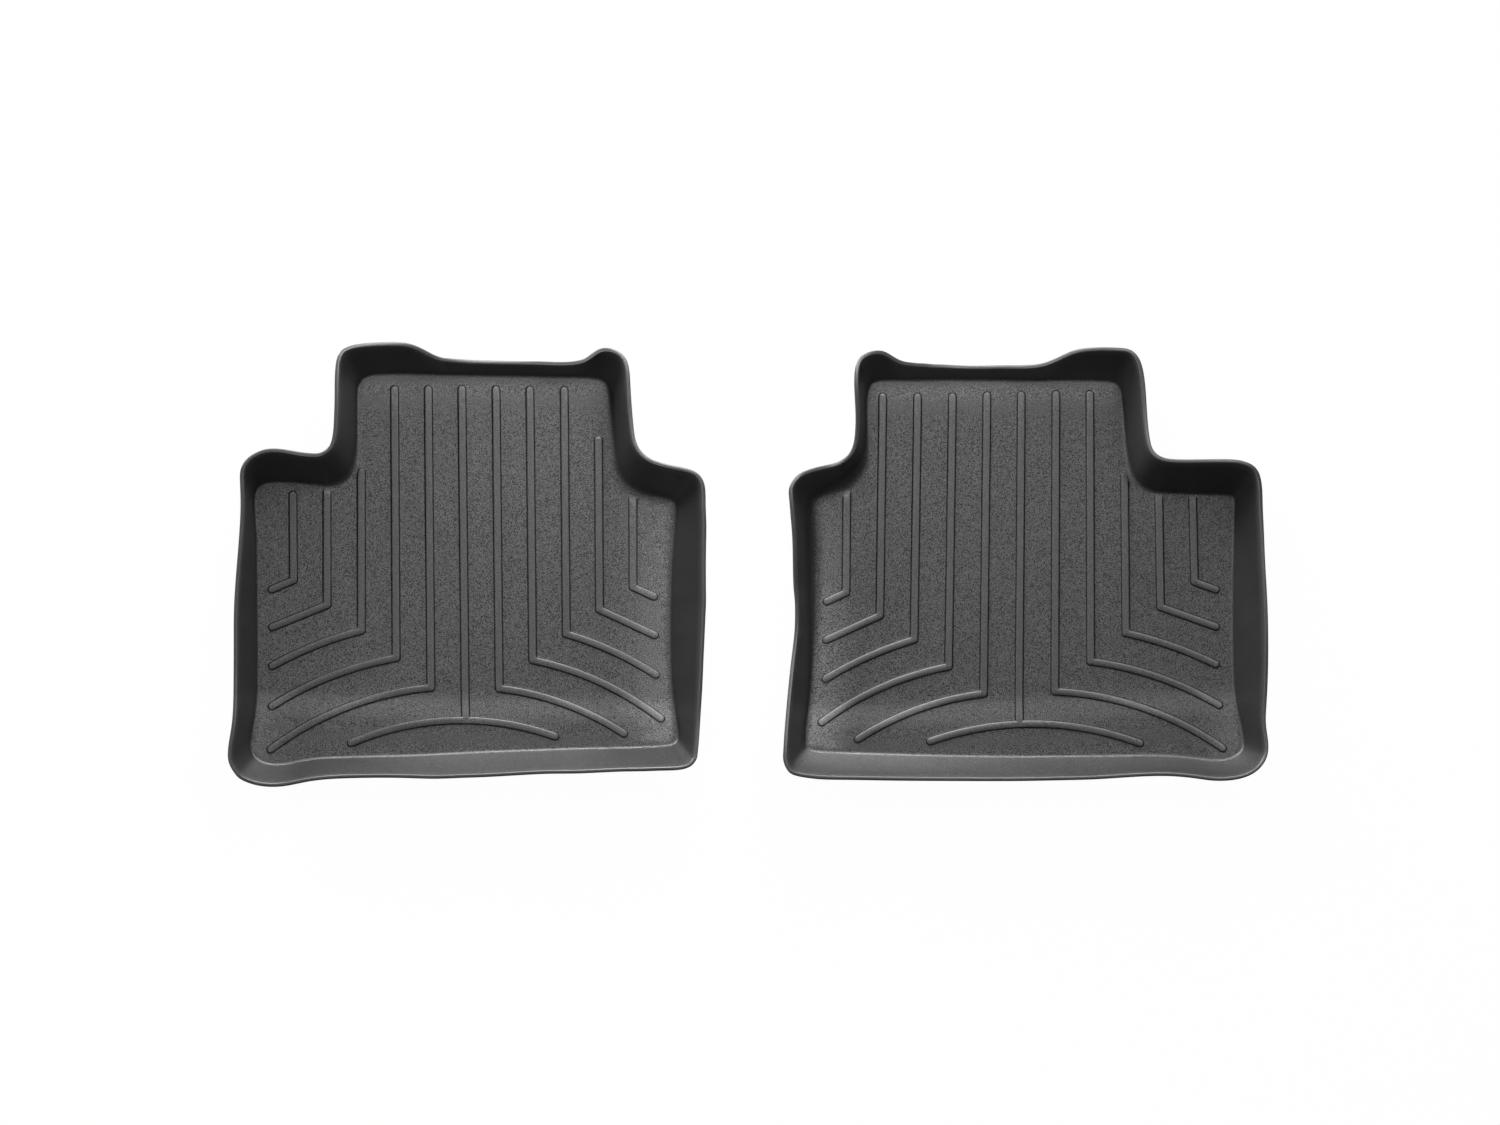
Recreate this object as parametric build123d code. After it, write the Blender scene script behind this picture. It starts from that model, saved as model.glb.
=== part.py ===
from build123d import *
import math
import os
from itertools import accumulate
from typing import NamedTuple

# Rear floor liner set: two loose moulded trays, one for each rear footwell,
# lying side by side with the tunnel gap between them.  Millimetres, +Z up,
# +X across the vehicle, +Y towards the front seats.  The origin is the bottom
# centre of the set, on the carpet plane.

# ------------------------------------------------------------------ sizes
SHEET = 4.0          # thickness of the moulded sheet, measured square to it
STEP_SLOPE = 0.17    # slope of the heel step, where the floor rises towards the seat
STEP_RUN = 22.0      # length of the heel step along the tray
PAD_SLOPE = 0.03     # slope of the heel pad behind the step
STEP_FOOT_R = 60.0   # radius that eases the floor into the step
STEP_HEAD_R = 60.0   # radius that eases the step into the heel pad
INNER_FILLET = 5.0   # radius between floor and wall, inside the tray
OUTER_FILLET = INNER_FILLET + SHEET
RIM_ROUND = 1.2      # rounding of the rim's outer and inner edges
RIM_LOWEST = 29.0    # no part of the rim is lower than this
RIB_HEIGHT = 1.9     # drainage ribs above the floor
RIB_HALF = 4.4       # half width of a rib at its foot
RIB_EDGE = 1.1       # bevel along a rib's crest
RIB_SINK = 0.6       # how far a rib reaches down into the floor

# Construction limits, all clear of the finished surfaces.
SKIRT = 6.0              # length the walls are carried below the carpet plane before trimming
SLAB_BOTTOM = 1.0 - SKIRT
BLOCK_BOTTOM = -SKIRT - 2
BLOCK_TOP = 30.0
TRIM_BOTTOM = -40.0
RIB_LAYER_BOTTOM = -60.0
RIB_CUT_BOTTOM = -80.0
BEHIND, AHEAD = 140.0, 400.0   # reach of the floor profile behind and ahead of the step's foot
SPAN = 320.0             # half length of the floor profile across the tray
PANELS = 10              # smooth panels that make up the wall of one tray


# ------------------------------------------------------------------ forms
class HeelStep(NamedTuple):
    """Foot line of a heel step: a point on it and its skew, dy/dx."""
    x: float
    y: float
    skew: float


LEFT_STEP = HeelStep(-291.8, -138.8, -0.0175)
RIGHT_STEP = HeelStep(288.8, -142.1, 0.0366)

# One row per station round a tray, counter-clockwise from the middle of the
# heel edge: foot of the inner wall (x, y), then the outer rim (x, y, z).
LEFT_WALL = [
    (-290.4, -197.1, -294.2, -222.6, 54.6), (-240.9, -195.3, -240.5, -220.0, 55.1),
    (-216.2, -194.5, -213.6, -218.8, 55.7), (-191.4, -193.7, -186.8, -218.6, 56.6),
    (-141.7, -192.7, -133.1, -216.5, 58.6), (-121.9, -192.3, -111.5, -216.2, 58.9),
    (-107.0, -191.9, -95.3, -215.7, 58.6), (-92.1, -191.1, -79.0, -215.3, 57.9),
    (-82.2, -190.1, -68.3, -213.4, 57.3), (-77.5, -188.5, -63.4, -211.0, 56.9),
    (-73.9, -185.2, -59.6, -207.2, 56.5), (-72.3, -181.3, -57.2, -202.8, 56.1),
    (-71.8, -177.2, -56.3, -197.9, 55.6), (-72.1, -173.0, -55.7, -192.9, 55.2),
    (-74.0, -160.7, -54.2, -177.8, 54.0), (-76.7, -140.1, -52.3, -152.7, 52.7),
    (-78.5, -119.3, -50.7, -127.5, 53.5), (-79.5, -94.2, -49.6, -97.3, 55.4),
    (-79.7, -77.5, -48.8, -77.1, 56.8), (-79.8, -56.6, -47.9, -52.0, 58.3),
    (-79.6, -48.3, -47.5, -41.9, 58.9), (-79.4, -35.7, -47.6, -26.8, 59.7),
    (-77.9, 6.0, -47.8, 23.6, 62.0), (-76.9, 22.7, -47.8, 43.8, 63.0),
    (-76.1, 35.2, -48.5, 58.9, 63.7), (-75.1, 47.7, -48.9, 74.0, 64.4),
    (-74.4, 56.0, -50.1, 84.0, 64.9), (-75.6, 64.2, -54.7, 92.9, 65.3),
    (-83.3, 69.1, -63.1, 98.7, 65.7), (-92.4, 71.4, -73.0, 101.7, 65.7),
    (-107.6, 75.1, -89.7, 105.1, 64.5), (-113.6, 77.0, -96.2, 107.0, 63.6),
    (-121.9, 81.2, -105.7, 110.6, 61.9), (-130.7, 90.0, -116.3, 119.0, 59.7),
    (-134.2, 97.5, -120.6, 126.4, 58.9), (-137.6, 113.8, -123.9, 143.4, 57.9),
    (-141.8, 155.3, -127.2, 186.8, 58.3), (-142.8, 171.9, -128.6, 204.1, 58.2),
    (-143.7, 180.2, -130.8, 212.5, 57.6), (-146.6, 188.0, -135.6, 219.7, 56.7),
    (-153.4, 193.1, -144.0, 224.9, 55.2), (-166.2, 195.7, -158.6, 225.4, 51.9),
    (-170.6, 196.0, -163.1, 223.2, 50.5), (-183.6, 196.7, -175.1, 214.6, 46.0),
    (-188.0, 196.8, -179.8, 213.1, 44.3), (-196.7, 196.9, -189.5, 211.7, 41.1),
    (-222.9, 197.2, -219.2, 212.3, 33.5), (-240.4, 197.4, -239.3, 212.5, 31.0),
    (-270.9, 197.8, -274.9, 213.2, 31.6), (-283.9, 198.0, -290.4, 213.5, 34.0),
    (-297.0, 198.3, -305.9, 214.2, 37.8), (-305.7, 198.4, -316.3, 214.9, 41.0),
    (-310.1, 198.5, -321.5, 215.3, 42.8), (-318.8, 198.6, -331.5, 218.2, 46.6),
    (-327.5, 198.7, -340.7, 222.7, 50.4), (-344.9, 199.0, -359.9, 230.2, 57.6),
    (-357.9, 199.1, -375.4, 231.3, 62.0), (-370.9, 199.2, -390.8, 230.9, 65.7),
    (-384.0, 198.9, -406.1, 229.7, 68.6), (-396.8, 197.2, -421.1, 227.0, 70.9),
    (-404.1, 192.7, -430.2, 222.5, 72.2), (-408.3, 185.4, -434.9, 215.4, 73.3),
    (-409.4, 176.9, -436.7, 207.1, 74.2), (-409.5, 168.4, -437.5, 198.5, 75.0),
    (-409.4, 142.9, -438.0, 172.9, 75.8), (-410.4, 117.5, -438.8, 147.4, 75.1),
    (-414.6, 101.0, -440.6, 130.5, 73.9), (-418.7, 93.6, -443.8, 122.7, 73.2),
    (-421.4, 90.4, -446.6, 120.0, 72.8), (-428.3, 85.8, -453.1, 116.1, 72.1),
    (-436.4, 83.6, -460.8, 115.6, 71.4), (-449.0, 83.6, -472.3, 116.8, 70.5),
    (-490.8, 86.2, -510.6, 119.5, 68.7), (-503.3, 85.3, -521.2, 115.1, 68.4),
    (-510.9, 82.0, -527.6, 110.6, 68.2), (-516.7, 70.0, -534.8, 97.8, 67.7),
    (-516.9, 60.6, -535.3, 86.8, 67.2), (-515.4, 41.7, -534.6, 64.7, 65.8),
    (-514.2, 13.3, -535.9, 31.5, 63.3), (-513.7, -34.0, -540.2, -23.7, 61.0),
    (-513.5, -52.9, -541.4, -45.9, 60.8), (-513.3, -81.3, -541.7, -79.1, 61.0),
    (-513.3, -114.5, -541.9, -117.9, 62.1), (-513.5, -128.7, -542.1, -134.5, 63.3),
    (-516.3, -156.9, -544.3, -167.6, 66.6), (-519.5, -175.5, -547.7, -189.4, 67.4),
    (-520.7, -189.6, -547.0, -205.9, 66.8), (-518.1, -198.6, -541.8, -215.7, 66.1),
    (-515.0, -202.2, -538.3, -220.1, 65.6), (-506.5, -207.1, -529.2, -225.7, 64.5),
    (-496.9, -209.1, -519.0, -229.0, 63.3), (-482.2, -208.5, -503.0, -231.1, 61.5),
    (-467.7, -205.6, -487.0, -230.2, 59.7), (-448.3, -202.8, -465.8, -226.2, 57.6),
    (-423.7, -201.7, -439.1, -223.3, 55.1), (-399.0, -201.1, -412.2, -222.5, 53.2),
    (-349.7, -199.8, -358.5, -222.9, 52.8), (-325.0, -198.7, -331.7, -223.7, 53.7),
    (-300.3, -197.6, -304.9, -222.9, 54.4),
]
RIGHT_WALL = [
    (282.8, -202.9, 276.2, -227.9, 55.1), (334.0, -202.8, 332.9, -227.1, 54.7),
    (354.4, -202.7, 355.6, -226.6, 54.8), (385.2, -202.5, 389.5, -224.7, 55.4),
    (436.4, -202.4, 445.7, -223.1, 58.9), (462.1, -203.7, 473.6, -226.0, 60.7),
    (472.2, -205.0, 484.8, -227.5, 60.9), (487.5, -206.9, 502.0, -227.8, 60.5),
    (517.8, -203.9, 534.7, -218.0, 57.6), (525.4, -198.0, 542.4, -210.2, 56.5),
    (528.7, -189.5, 547.0, -200.7, 55.5), (528.2, -180.4, 548.1, -190.3, 54.9),
    (524.9, -162.4, 545.7, -169.4, 54.4), (521.3, -144.5, 546.2, -148.4, 54.6),
    (519.4, -126.3, 547.3, -127.4, 55.4), (518.3, -98.8, 547.6, -95.8, 57.7),
    (518.0, -52.9, 546.5, -43.2, 59.3), (518.3, -7.0, 543.6, 9.3, 59.2),
    (519.1, 20.5, 542.1, 40.8, 59.9), (519.7, 38.8, 540.8, 61.8, 61.4),
    (520.6, 57.2, 539.4, 82.7, 63.8), (520.7, 66.3, 537.2, 93.0, 65.2),
    (519.2, 70.6, 535.1, 97.9, 66.0), (514.5, 73.2, 531.7, 102.6, 66.7),
    (503.7, 74.2, 521.5, 108.4, 68.0), (482.0, 74.8, 498.2, 111.2, 69.6),
    (449.5, 76.0, 463.4, 110.8, 68.4), (433.4, 77.9, 446.3, 111.1, 66.4),
    (418.9, 84.7, 429.8, 114.8, 64.3), (412.9, 92.2, 423.0, 121.9, 62.9),
    (409.7, 100.0, 420.6, 130.2, 61.9), (405.8, 116.6, 418.5, 147.5, 60.6),
    (403.1, 142.0, 416.7, 173.6, 60.7), (401.1, 167.4, 413.9, 199.5, 62.2),
    (400.2, 175.8, 412.0, 208.0, 62.9), (398.5, 184.2, 408.8, 216.1, 63.6),
    (393.3, 190.9, 402.8, 223.4, 64.2), (389.1, 192.6, 398.5, 226.0, 64.4),
    (380.2, 193.7, 388.5, 227.8, 64.6), (375.7, 193.9, 383.5, 228.1, 64.6),
    (357.7, 194.2, 363.4, 228.2, 63.0), (335.1, 194.2, 339.3, 224.8, 57.4),
    (312.6, 194.3, 317.6, 214.7, 48.8), (303.6, 194.3, 308.6, 211.5, 45.0),
    (290.1, 194.4, 294.4, 209.7, 39.8), (267.6, 194.5, 270.0, 209.7, 33.3),
    (245.2, 194.6, 245.1, 209.2, 30.3), (222.7, 194.7, 219.6, 209.6, 30.7),
    (204.8, 194.6, 198.9, 210.4, 33.8), (200.3, 194.5, 193.7, 210.5, 34.9),
    (191.3, 194.4, 183.2, 211.3, 37.8), (186.8, 194.4, 177.9, 211.4, 39.5),
    (177.9, 194.3, 167.3, 212.3, 43.1), (173.4, 194.2, 162.0, 213.0, 45.1),
    (164.4, 194.1, 152.2, 216.7, 49.2), (151.0, 193.9, 138.1, 223.8, 55.2),
    (142.0, 193.4, 127.7, 224.0, 58.8), (133.6, 190.6, 117.8, 220.7, 61.8),
    (130.6, 187.3, 113.5, 217.7, 63.1), (128.2, 180.1, 108.6, 210.3, 65.0),
    (127.0, 168.8, 106.2, 197.3, 66.4), (126.9, 153.5, 106.5, 179.8, 65.7),
    (126.8, 134.5, 108.1, 157.9, 61.6), (124.9, 115.5, 108.2, 136.1, 56.0),
    (122.6, 108.3, 107.2, 127.4, 54.0), (118.6, 101.7, 104.4, 119.2, 52.4),
    (108.1, 89.9, 92.0, 108.2, 50.9), (95.9, 82.2, 76.8, 104.1, 54.1),
    (87.1, 78.4, 66.4, 101.8, 57.7), (80.4, 75.5, 58.7, 99.6, 60.6),
    (74.0, 72.2, 51.3, 96.7, 63.4), (69.6, 66.6, 44.8, 92.3, 65.6),
    (68.2, 62.4, 41.3, 88.4, 66.1), (67.4, 53.8, 37.0, 79.1, 66.8),
    (67.6, 45.0, 37.3, 68.7, 67.0), (67.9, 31.9, 38.7, 53.2, 66.2),
    (68.3, 18.8, 40.3, 37.8, 64.4), (69.4, -24.8, 43.0, -14.0, 54.8),
    (69.6, -33.5, 43.7, -24.4, 53.0), (69.7, -46.6, 45.3, -39.9, 51.1),
    (69.7, -55.4, 45.6, -50.3, 50.4), (69.8, -68.5, 45.3, -65.8, 50.2),
    (69.5, -90.3, 42.3, -91.6, 52.5), (68.7, -112.1, 38.8, -117.3, 56.7),
    (64.7, -155.6, 33.0, -168.7, 65.5), (62.8, -168.5, 31.6, -184.2, 67.9),
    (61.7, -177.2, 30.9, -194.5, 69.0), (61.4, -185.9, 30.8, -204.8, 69.6),
    (61.9, -190.2, 32.2, -209.8, 69.7), (69.0, -195.9, 38.2, -218.5, 69.7),
    (74.0, -197.0, 43.3, -220.8, 69.6), (84.1, -197.8, 54.4, -223.1, 69.1),
    (94.3, -198.3, 65.6, -224.5, 68.5), (119.7, -199.2, 94.0, -225.6, 66.4),
    (170.6, -200.7, 151.0, -226.8, 61.5), (221.6, -202.0, 208.0, -227.5, 57.5),
    (272.6, -202.8, 264.9, -227.9, 55.3),
]

# Drainage ribs as centre lines (x, y): front end, corner, a point on the swept
# arm, free end of the arm.  The middle rib of each tray has no arm: it runs
# into the lone arc across the heel, given by its start, middle and end.
LEFT_RIBS = [
    (-475.9, 72.3, -475.3, -16.8, -486.5, -21.6, -497.7, -26.3),
    (-440.3, 76.2, -440.2, -42.6, -468.7, -53.0, -497.2, -65.7),
    (-404.5, 96.3, -404.4, -69.5, -450.8, -84.3, -497.2, -106.1),
    (-369.7, 182.5, -368.0, -98.1, -432.9, -115.8, -497.8, -148.0),
    (-334.4, 182.6, -331.6, -129.1, -415.5, -147.7, -499.3, -192.9),
    (-299.2, 182.7, -295.4, -163.4),
    (-263.3, 182.8, -260.0, -130.1, -194.6, -145.1, -129.4, -177.4),
    (-227.7, 182.3, -224.9, -100.5, -157.6, -121.8, -90.6, -161.7),
    (-191.7, 181.9, -189.5, -73.1, -142.6, -90.3, -95.5, -115.8),
    (-155.7, 130.2, -154.6, -47.5, -125.6, -59.7, -96.6, -74.4),
    (-119.5, 80.5, -119.3, -24.0, -108.3, -28.9, -97.4, -34.0),
]
LEFT_HEEL_ARC = ((-415.3, -186.6), (-308.6, -163.2), (-201.8, -180.2))
RIGHT_RIBS = [
    (106.6, 73.8, 105.8, -30.0, 95.7, -34.3, 85.5, -39.2),
    (144.9, 176.0, 141.7, -54.2, 113.3, -65.5, 85.0, -79.5),
    (181.9, 176.1, 178.0, -79.6, 131.1, -96.5, 84.2, -120.6),
    (218.9, 176.2, 214.7, -107.9, 147.4, -128.0, 79.8, -166.1),
    (255.6, 177.6, 251.9, -136.5, 185.0, -151.6, 117.9, -183.8),
    (292.2, 178.2, 289.5, -168.0),
    (329.1, 179.1, 327.9, -134.3, 417.0, -150.1, 506.2, -194.4),
    (365.3, 179.2, 366.1, -102.7, 434.6, -118.0, 502.9, -148.9),
    (402.3, 92.7, 403.7, -72.8, 451.7, -86.0, 499.8, -105.9),
    (438.9, 75.4, 440.8, -45.3, 470.3, -54.6, 499.8, -66.0),
    (475.0, 71.5, 477.2, -18.8, 488.5, -22.9, 499.8, -26.9),
]
RIGHT_HEEL_ARC = ((194.7, -186.3), (306.3, -168.2), (418.0, -189.0))


# ------------------------------------------------------------------ floor
def step_arcs(drop):
    """Foot arc, head arc (three points each) and their centres, for the floor lowered by drop.

    Points are (run, height); run is measured from the step's foot line towards the seat."""
    steep, gentle = math.atan(STEP_SLOPE), math.atan(PAD_SLOPE)
    foot_r, head_r = STEP_FOOT_R + drop, STEP_HEAD_R - drop
    lead = STEP_FOOT_R * math.tan(steep / 2)
    tail = STEP_HEAD_R * math.tan((steep - gentle) / 2)
    foot_centre = (-lead, SHEET + STEP_FOOT_R)
    knee = (STEP_RUN, SHEET + STEP_RUN * STEP_SLOPE)
    head_centre = (
        knee[0] - tail * math.cos(steep) + STEP_HEAD_R * math.sin(steep),
        knee[1] - tail * math.sin(steep) - STEP_HEAD_R * math.cos(steep),
    )
    foot = [
        (foot_centre[0] + foot_r * math.sin(t), foot_centre[1] - foot_r * math.cos(t))
        for t in (0, steep / 2, steep)
    ]
    head = [
        (head_centre[0] - head_r * math.sin(t), head_centre[1] + head_r * math.cos(t))
        for t in (steep, (steep + gentle) / 2, gentle)
    ]
    return foot, head, foot_centre, head_centre


def floor_profile(drop, bottom):
    """Face in the YZ plane between the floor line, lowered by drop, and a level line."""
    foot, head, _, _ = step_arcs(drop)

    def at(run, z):
        return (0, -run, z)

    front = at(-AHEAD, foot[0][1])
    back = at(BEHIND, head[2][1] + (BEHIND - head[2][0]) * PAD_SLOPE)
    foot = [at(*point) for point in foot]
    head = [at(*point) for point in head]
    return make_face(
        [
            Line(front, foot[0]),
            ThreePointArc(*foot),
            Line(foot[2], head[0]),
            ThreePointArc(*head),
            Line(head[2], back),
            Line(back, at(BEHIND, bottom)),
            Line(at(BEHIND, bottom), at(-AHEAD, bottom)),
            Line(at(-AHEAD, bottom), front),
        ]
    )


def under_floor(step, drop, bottom):
    """Everything between the floor surface, lowered by drop, and bottom, across one tray."""
    profile = floor_profile(drop, bottom).moved(Location((-SPAN, 0, 0)))
    block = extrude(profile, amount=2 * SPAN, dir=(1, 0, 0))
    turn = math.degrees(math.atan(step.skew))
    return block.moved(Location((step.x, step.y, 0), (0, 0, turn)))


def run_behind(step, x, y):
    """Distance of a point behind the step's foot line, towards the seat."""
    turn = math.atan(step.skew)
    return (x - step.x) * math.sin(turn) - (y - step.y) * math.cos(turn)


def floor_z(step, x, y):
    """Height of the floor's upper surface."""
    run = run_behind(step, x, y)
    foot, head, foot_centre, head_centre = step_arcs(0.0)
    if run <= foot[0][0]:
        return SHEET
    if run <= foot[2][0]:
        return foot_centre[1] - math.sqrt(STEP_FOOT_R**2 - (run - foot_centre[0]) ** 2)
    if run <= head[0][0]:
        return SHEET + STEP_SLOPE * run
    if run <= head[2][0]:
        return head_centre[1] + math.sqrt(STEP_HEAD_R**2 - (run - head_centre[0]) ** 2)
    return head[2][1] + PAD_SLOPE * (run - head[2][0])


def above_floor(step, point):
    """Height of a point over the floor surface."""
    return point.Z - floor_z(step, point.X, point.Y)


# ------------------------------------------------------------------ wall
def length_shares(points):
    """Share of a closed polygon's length reached at every point, ending with 1."""
    sides = [math.dist(p, q) for p, q in zip(points, points[1:] + points[:1])]
    reached = list(accumulate(sides, initial=0.0))
    return [length / reached[-1] for length in reached]


def slopes(points, params):
    """Derivative of a closed curve through points, by its parameter, at every point."""
    count, out = len(points), []
    for i in range(count):
        before = params[i] - params[i - 1] if i else params[count] - params[count - 1]
        after = params[i + 1] - params[i]
        weights = (
            -after / (before * (before + after)),
            (after - before) / (before * after),
            before / (after * (before + after)),
        )
        near = zip(points[i - 1], points[i], points[(i + 1) % count])
        out.append(tuple(weights[0] * p + weights[1] * q + weights[2] * r for p, q, r in near))
    return out


def outward(points, params):
    """Unit outward normals, in plan, of a closed counter-clockwise curve through points."""
    return [(dy / math.hypot(dx, dy), -dx / math.hypot(dx, dy))
            for dx, dy in slopes(points, params)]


def wall_lines(rows, step):
    """Curve parameters of the rows, then points of inner foot and rim, outer foot and rim."""
    foot_shares = length_shares([row[:2] for row in rows])
    rim_shares = length_shares([row[2:] for row in rows])
    params = [(a + b) / 2 for a, b in zip(foot_shares, rim_shares)]
    foot_normals = outward([row[:2] for row in rows], params)
    rim_normals = outward([row[2:4] for row in rows], params)
    inner_foot, inner_rim, outer_foot, outer_rim = [], [], [], []
    for row, foot_n, rim_n in zip(rows, foot_normals, rim_normals):
        foot_x, foot_y, rim_x, rim_y, rim_z = row
        foot_z = floor_z(step, foot_x, foot_y)
        reach = math.hypot(rim_x - foot_x, rim_y - foot_y) - SHEET
        width = SHEET / math.cos(math.atan2(reach, rim_z - foot_z))   # leaning sheet, cut level
        inner_foot.append((foot_x, foot_y, foot_z))
        outer_foot.append((foot_x + foot_n[0] * width, foot_y + foot_n[1] * width, foot_z))
        outer_rim.append((rim_x, rim_y, rim_z))
        inner_rim.append((rim_x - rim_n[0] * width, rim_y - rim_n[1] * width, rim_z))
    return params, inner_foot, inner_rim, outer_foot, outer_rim


def level(feet, rims, z):
    """Points of the straight wall lines where they pass height z."""
    out = []
    for foot, rim in zip(feet, rims):
        k = (z - foot[2]) / (rim[2] - foot[2])
        out.append((foot[0] + k * (rim[0] - foot[0]), foot[1] + k * (rim[1] - foot[1]), z))
    return out


def loop(points, params):
    """Closed smooth curve through points, as PANELS edges that join tangentially."""
    count, tangents = len(points), slopes(points, params)
    cuts = [round(k * count / PANELS) for k in range(PANELS + 1)]
    return [
        Edge.make_spline(
            [points[k % count] for k in range(i, j + 1)],
            tangents=[tangents[i], tangents[j % count]],
            parameters=params[i : j + 1],
            scale=False,
        )
        for i, j in zip(cuts, cuts[1:])
    ]


def wall_band(rows, step):
    """The raised wall as a closed ring of ruled panels, and the mould block inside its mid line."""
    params, inner_foot, inner_rim, outer_foot, outer_rim = wall_lines(rows, step)
    low_in = loop(level(inner_foot, inner_rim, -SKIRT), params)
    top_in = loop(inner_rim, params)
    low_out = loop(level(outer_foot, outer_rim, -SKIRT), params)
    top_out = loop(outer_rim, params)
    faces = []
    for section in zip(low_in, top_in, top_out, low_out):
        for p, q in zip(section, section[1:] + section[:1]):
            faces.append(Face.make_surface_from_curves(p, q))
    band = Solid(Shell(faces))

    def mid_line(z):
        pairs = zip(level(inner_foot, inner_rim, z), level(outer_foot, outer_rim, z))
        return Wire(loop([((p[0] + q[0]) / 2, (p[1] + q[1]) / 2, z) for p, q in pairs], params))

    block = Solid.make_loft([mid_line(BLOCK_BOTTOM), mid_line(BLOCK_TOP)], ruled=True)
    return band, block


# ------------------------------------------------------------------ ribs
def bar(p, q):
    """Straight band of rib width from p to q."""
    angle = math.degrees(math.atan2(q[1] - p[1], q[0] - p[0]))
    centre = Pos((p[0] + q[0]) / 2, (p[1] + q[1]) / 2)
    return centre * Rot(0, 0, angle) * Rectangle(math.dist(p, q), 2 * RIB_HALF)


def arc_band(start, middle, end):
    """Band of rib width along the arc through three points, with round ends."""
    (ax, ay), (bx, by), (cx, cy) = start, middle, end
    bow = 2 * (ax * (by - cy) + bx * (cy - ay) + cx * (ay - by))
    if abs(bow) < 4 * math.dist(start, end):      # next to no bow: a straight arm
        band = bar(start, end)
    else:
        aa, bb, cc = ax**2 + ay**2, bx**2 + by**2, cx**2 + cy**2
        centre_x = (aa * (by - cy) + bb * (cy - ay) + cc * (ay - by)) / bow
        centre_y = (aa * (cx - bx) + bb * (ax - cx) + cc * (bx - ax)) / bow
        radius = math.dist((centre_x, centre_y), start)

        def at_radius(r):
            k = r / radius
            return [(centre_x + (x - centre_x) * k, centre_y + (y - centre_y) * k)
                    for x, y in (start, middle, end)]

        outer, inner = at_radius(radius + RIB_HALF), at_radius(radius - RIB_HALF)
        band = make_face(
            [
                ThreePointArc(*outer),
                Line(outer[2], inner[2]),
                ThreePointArc(*inner[::-1]),
                Line(inner[0], outer[0]),
            ]
        )
    return band + Pos(*start) * Circle(RIB_HALF) + Pos(*end) * Circle(RIB_HALF)


def rib_plan(row, heel_arc):
    """Plan of one rib: straight part with its arm, or with the heel arc if it has no arm."""
    front, corner = row[0:2], row[2:4]
    plan = Pos(*front) * Circle(RIB_HALF) + bar(front, corner)
    if len(row) == 4:
        return plan + arc_band(*heel_arc)
    return plan + (Pos(*corner) * Circle(RIB_HALF) + arc_band(corner, row[4:6], row[6:8]))


def on_crest(edge, step):
    """True for an edge round a rib's top, but not for the seams that cross it at the step."""
    ends = [edge @ 0.0, edge @ 0.5, edge @ 1.0]
    on_top = all(abs(above_floor(step, p) - RIB_HEIGHT) < 0.06 for p in ends)
    runs = [run_behind(step, p.X, p.Y) for p in ends]
    across = edge.geom_type == GeomType.LINE and abs(runs[0] - runs[2]) < 1e-4
    return on_top and not (across and -10 < runs[0] < STEP_RUN + 10)


def rib_set(rows, heel_arc, step):
    """All ribs of a tray, standing on the floor and following the heel step, crests bevelled."""
    layer = under_floor(step, -RIB_HEIGHT, RIB_LAYER_BOTTOM)
    layer = layer - under_floor(step, RIB_SINK, RIB_CUT_BOTTOM)
    ribs = []
    for row in rows:
        column = extrude(Pos(0, 0, -1) * rib_plan(row, heel_arc), amount=50)
        rib = (column & layer).solids()[0]
        try:
            rib = rib.chamfer(RIB_EDGE, None, [e for e in rib.edges() if on_crest(e, step)])
        except ValueError:
            pass                                 # a crest too tight for the bevel stays square
        ribs.append(rib)
    return ribs


# ------------------------------------------------------------------ tray
def foot_edges(body, step, low, high):
    """Wall-foot edges that lie between low and high above the floor surface."""
    return [
        e for e in body.edges()
        if e.geom_type == GeomType.BSPLINE
        and all(low < above_floor(step, e @ t) < high for t in (0.02, 0.3, 0.5, 0.7, 0.98))
    ]


def rim_edges(body):
    """Long edges of the rim; the short ones across the sheet are left out."""
    return [
        e for e in body.edges()
        if e.geom_type == GeomType.BSPLINE and e.length > 3 * SHEET
        and min((e @ t).Z for t in (0.0, 0.5, 1.0)) > RIM_LOWEST
    ]


def tray(wall_rows, step, rib_rows, heel_arc):
    """One floor liner: sheet floor with heel step, leaning wall all round, round rim and ribs."""
    band, block = wall_band(wall_rows, step)
    slab = under_floor(step, 0.0, SLAB_BOTTOM) & block
    body = ((band + slab) - under_floor(step, SHEET, TRIM_BOTTOM)).solids()[0]
    body = body.fillet(INNER_FILLET, foot_edges(body, step, -0.02, 0.02))
    body = body.fillet(OUTER_FILLET, foot_edges(body, step, -1.05 * SHEET, -0.98 * SHEET))
    body = body.fillet(RIM_ROUND, rim_edges(body))
    for rib in rib_set(rib_rows, heel_arc, step):
        body = body + rib
    return body.solids()[0]


os.makedirs("parts", exist_ok=True)
for name, form in (
    ("left_floor_liner", (LEFT_WALL, LEFT_STEP, LEFT_RIBS, LEFT_HEEL_ARC)),
    ("right_floor_liner", (RIGHT_WALL, RIGHT_STEP, RIGHT_RIBS, RIGHT_HEEL_ARC)),
):
    liner = tray(*form)
    liner.label = name
    export_step(liner, f"parts/{name}.step")
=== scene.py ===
"""Rear floor liner set: two black moulded trays with leaning walls, rounded rims, drainage ribs
and a fine grain.  Seen from above, x runs to the right, y to the front and z up; the heel edges
lie at -y and the trays either side of x = 0.  Shapes are worked out in millimetres in the CAD
frame and turned into metres when a mesh is made; the stage, lamps and camera are in metres."""
import math
from types import SimpleNamespace

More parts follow.
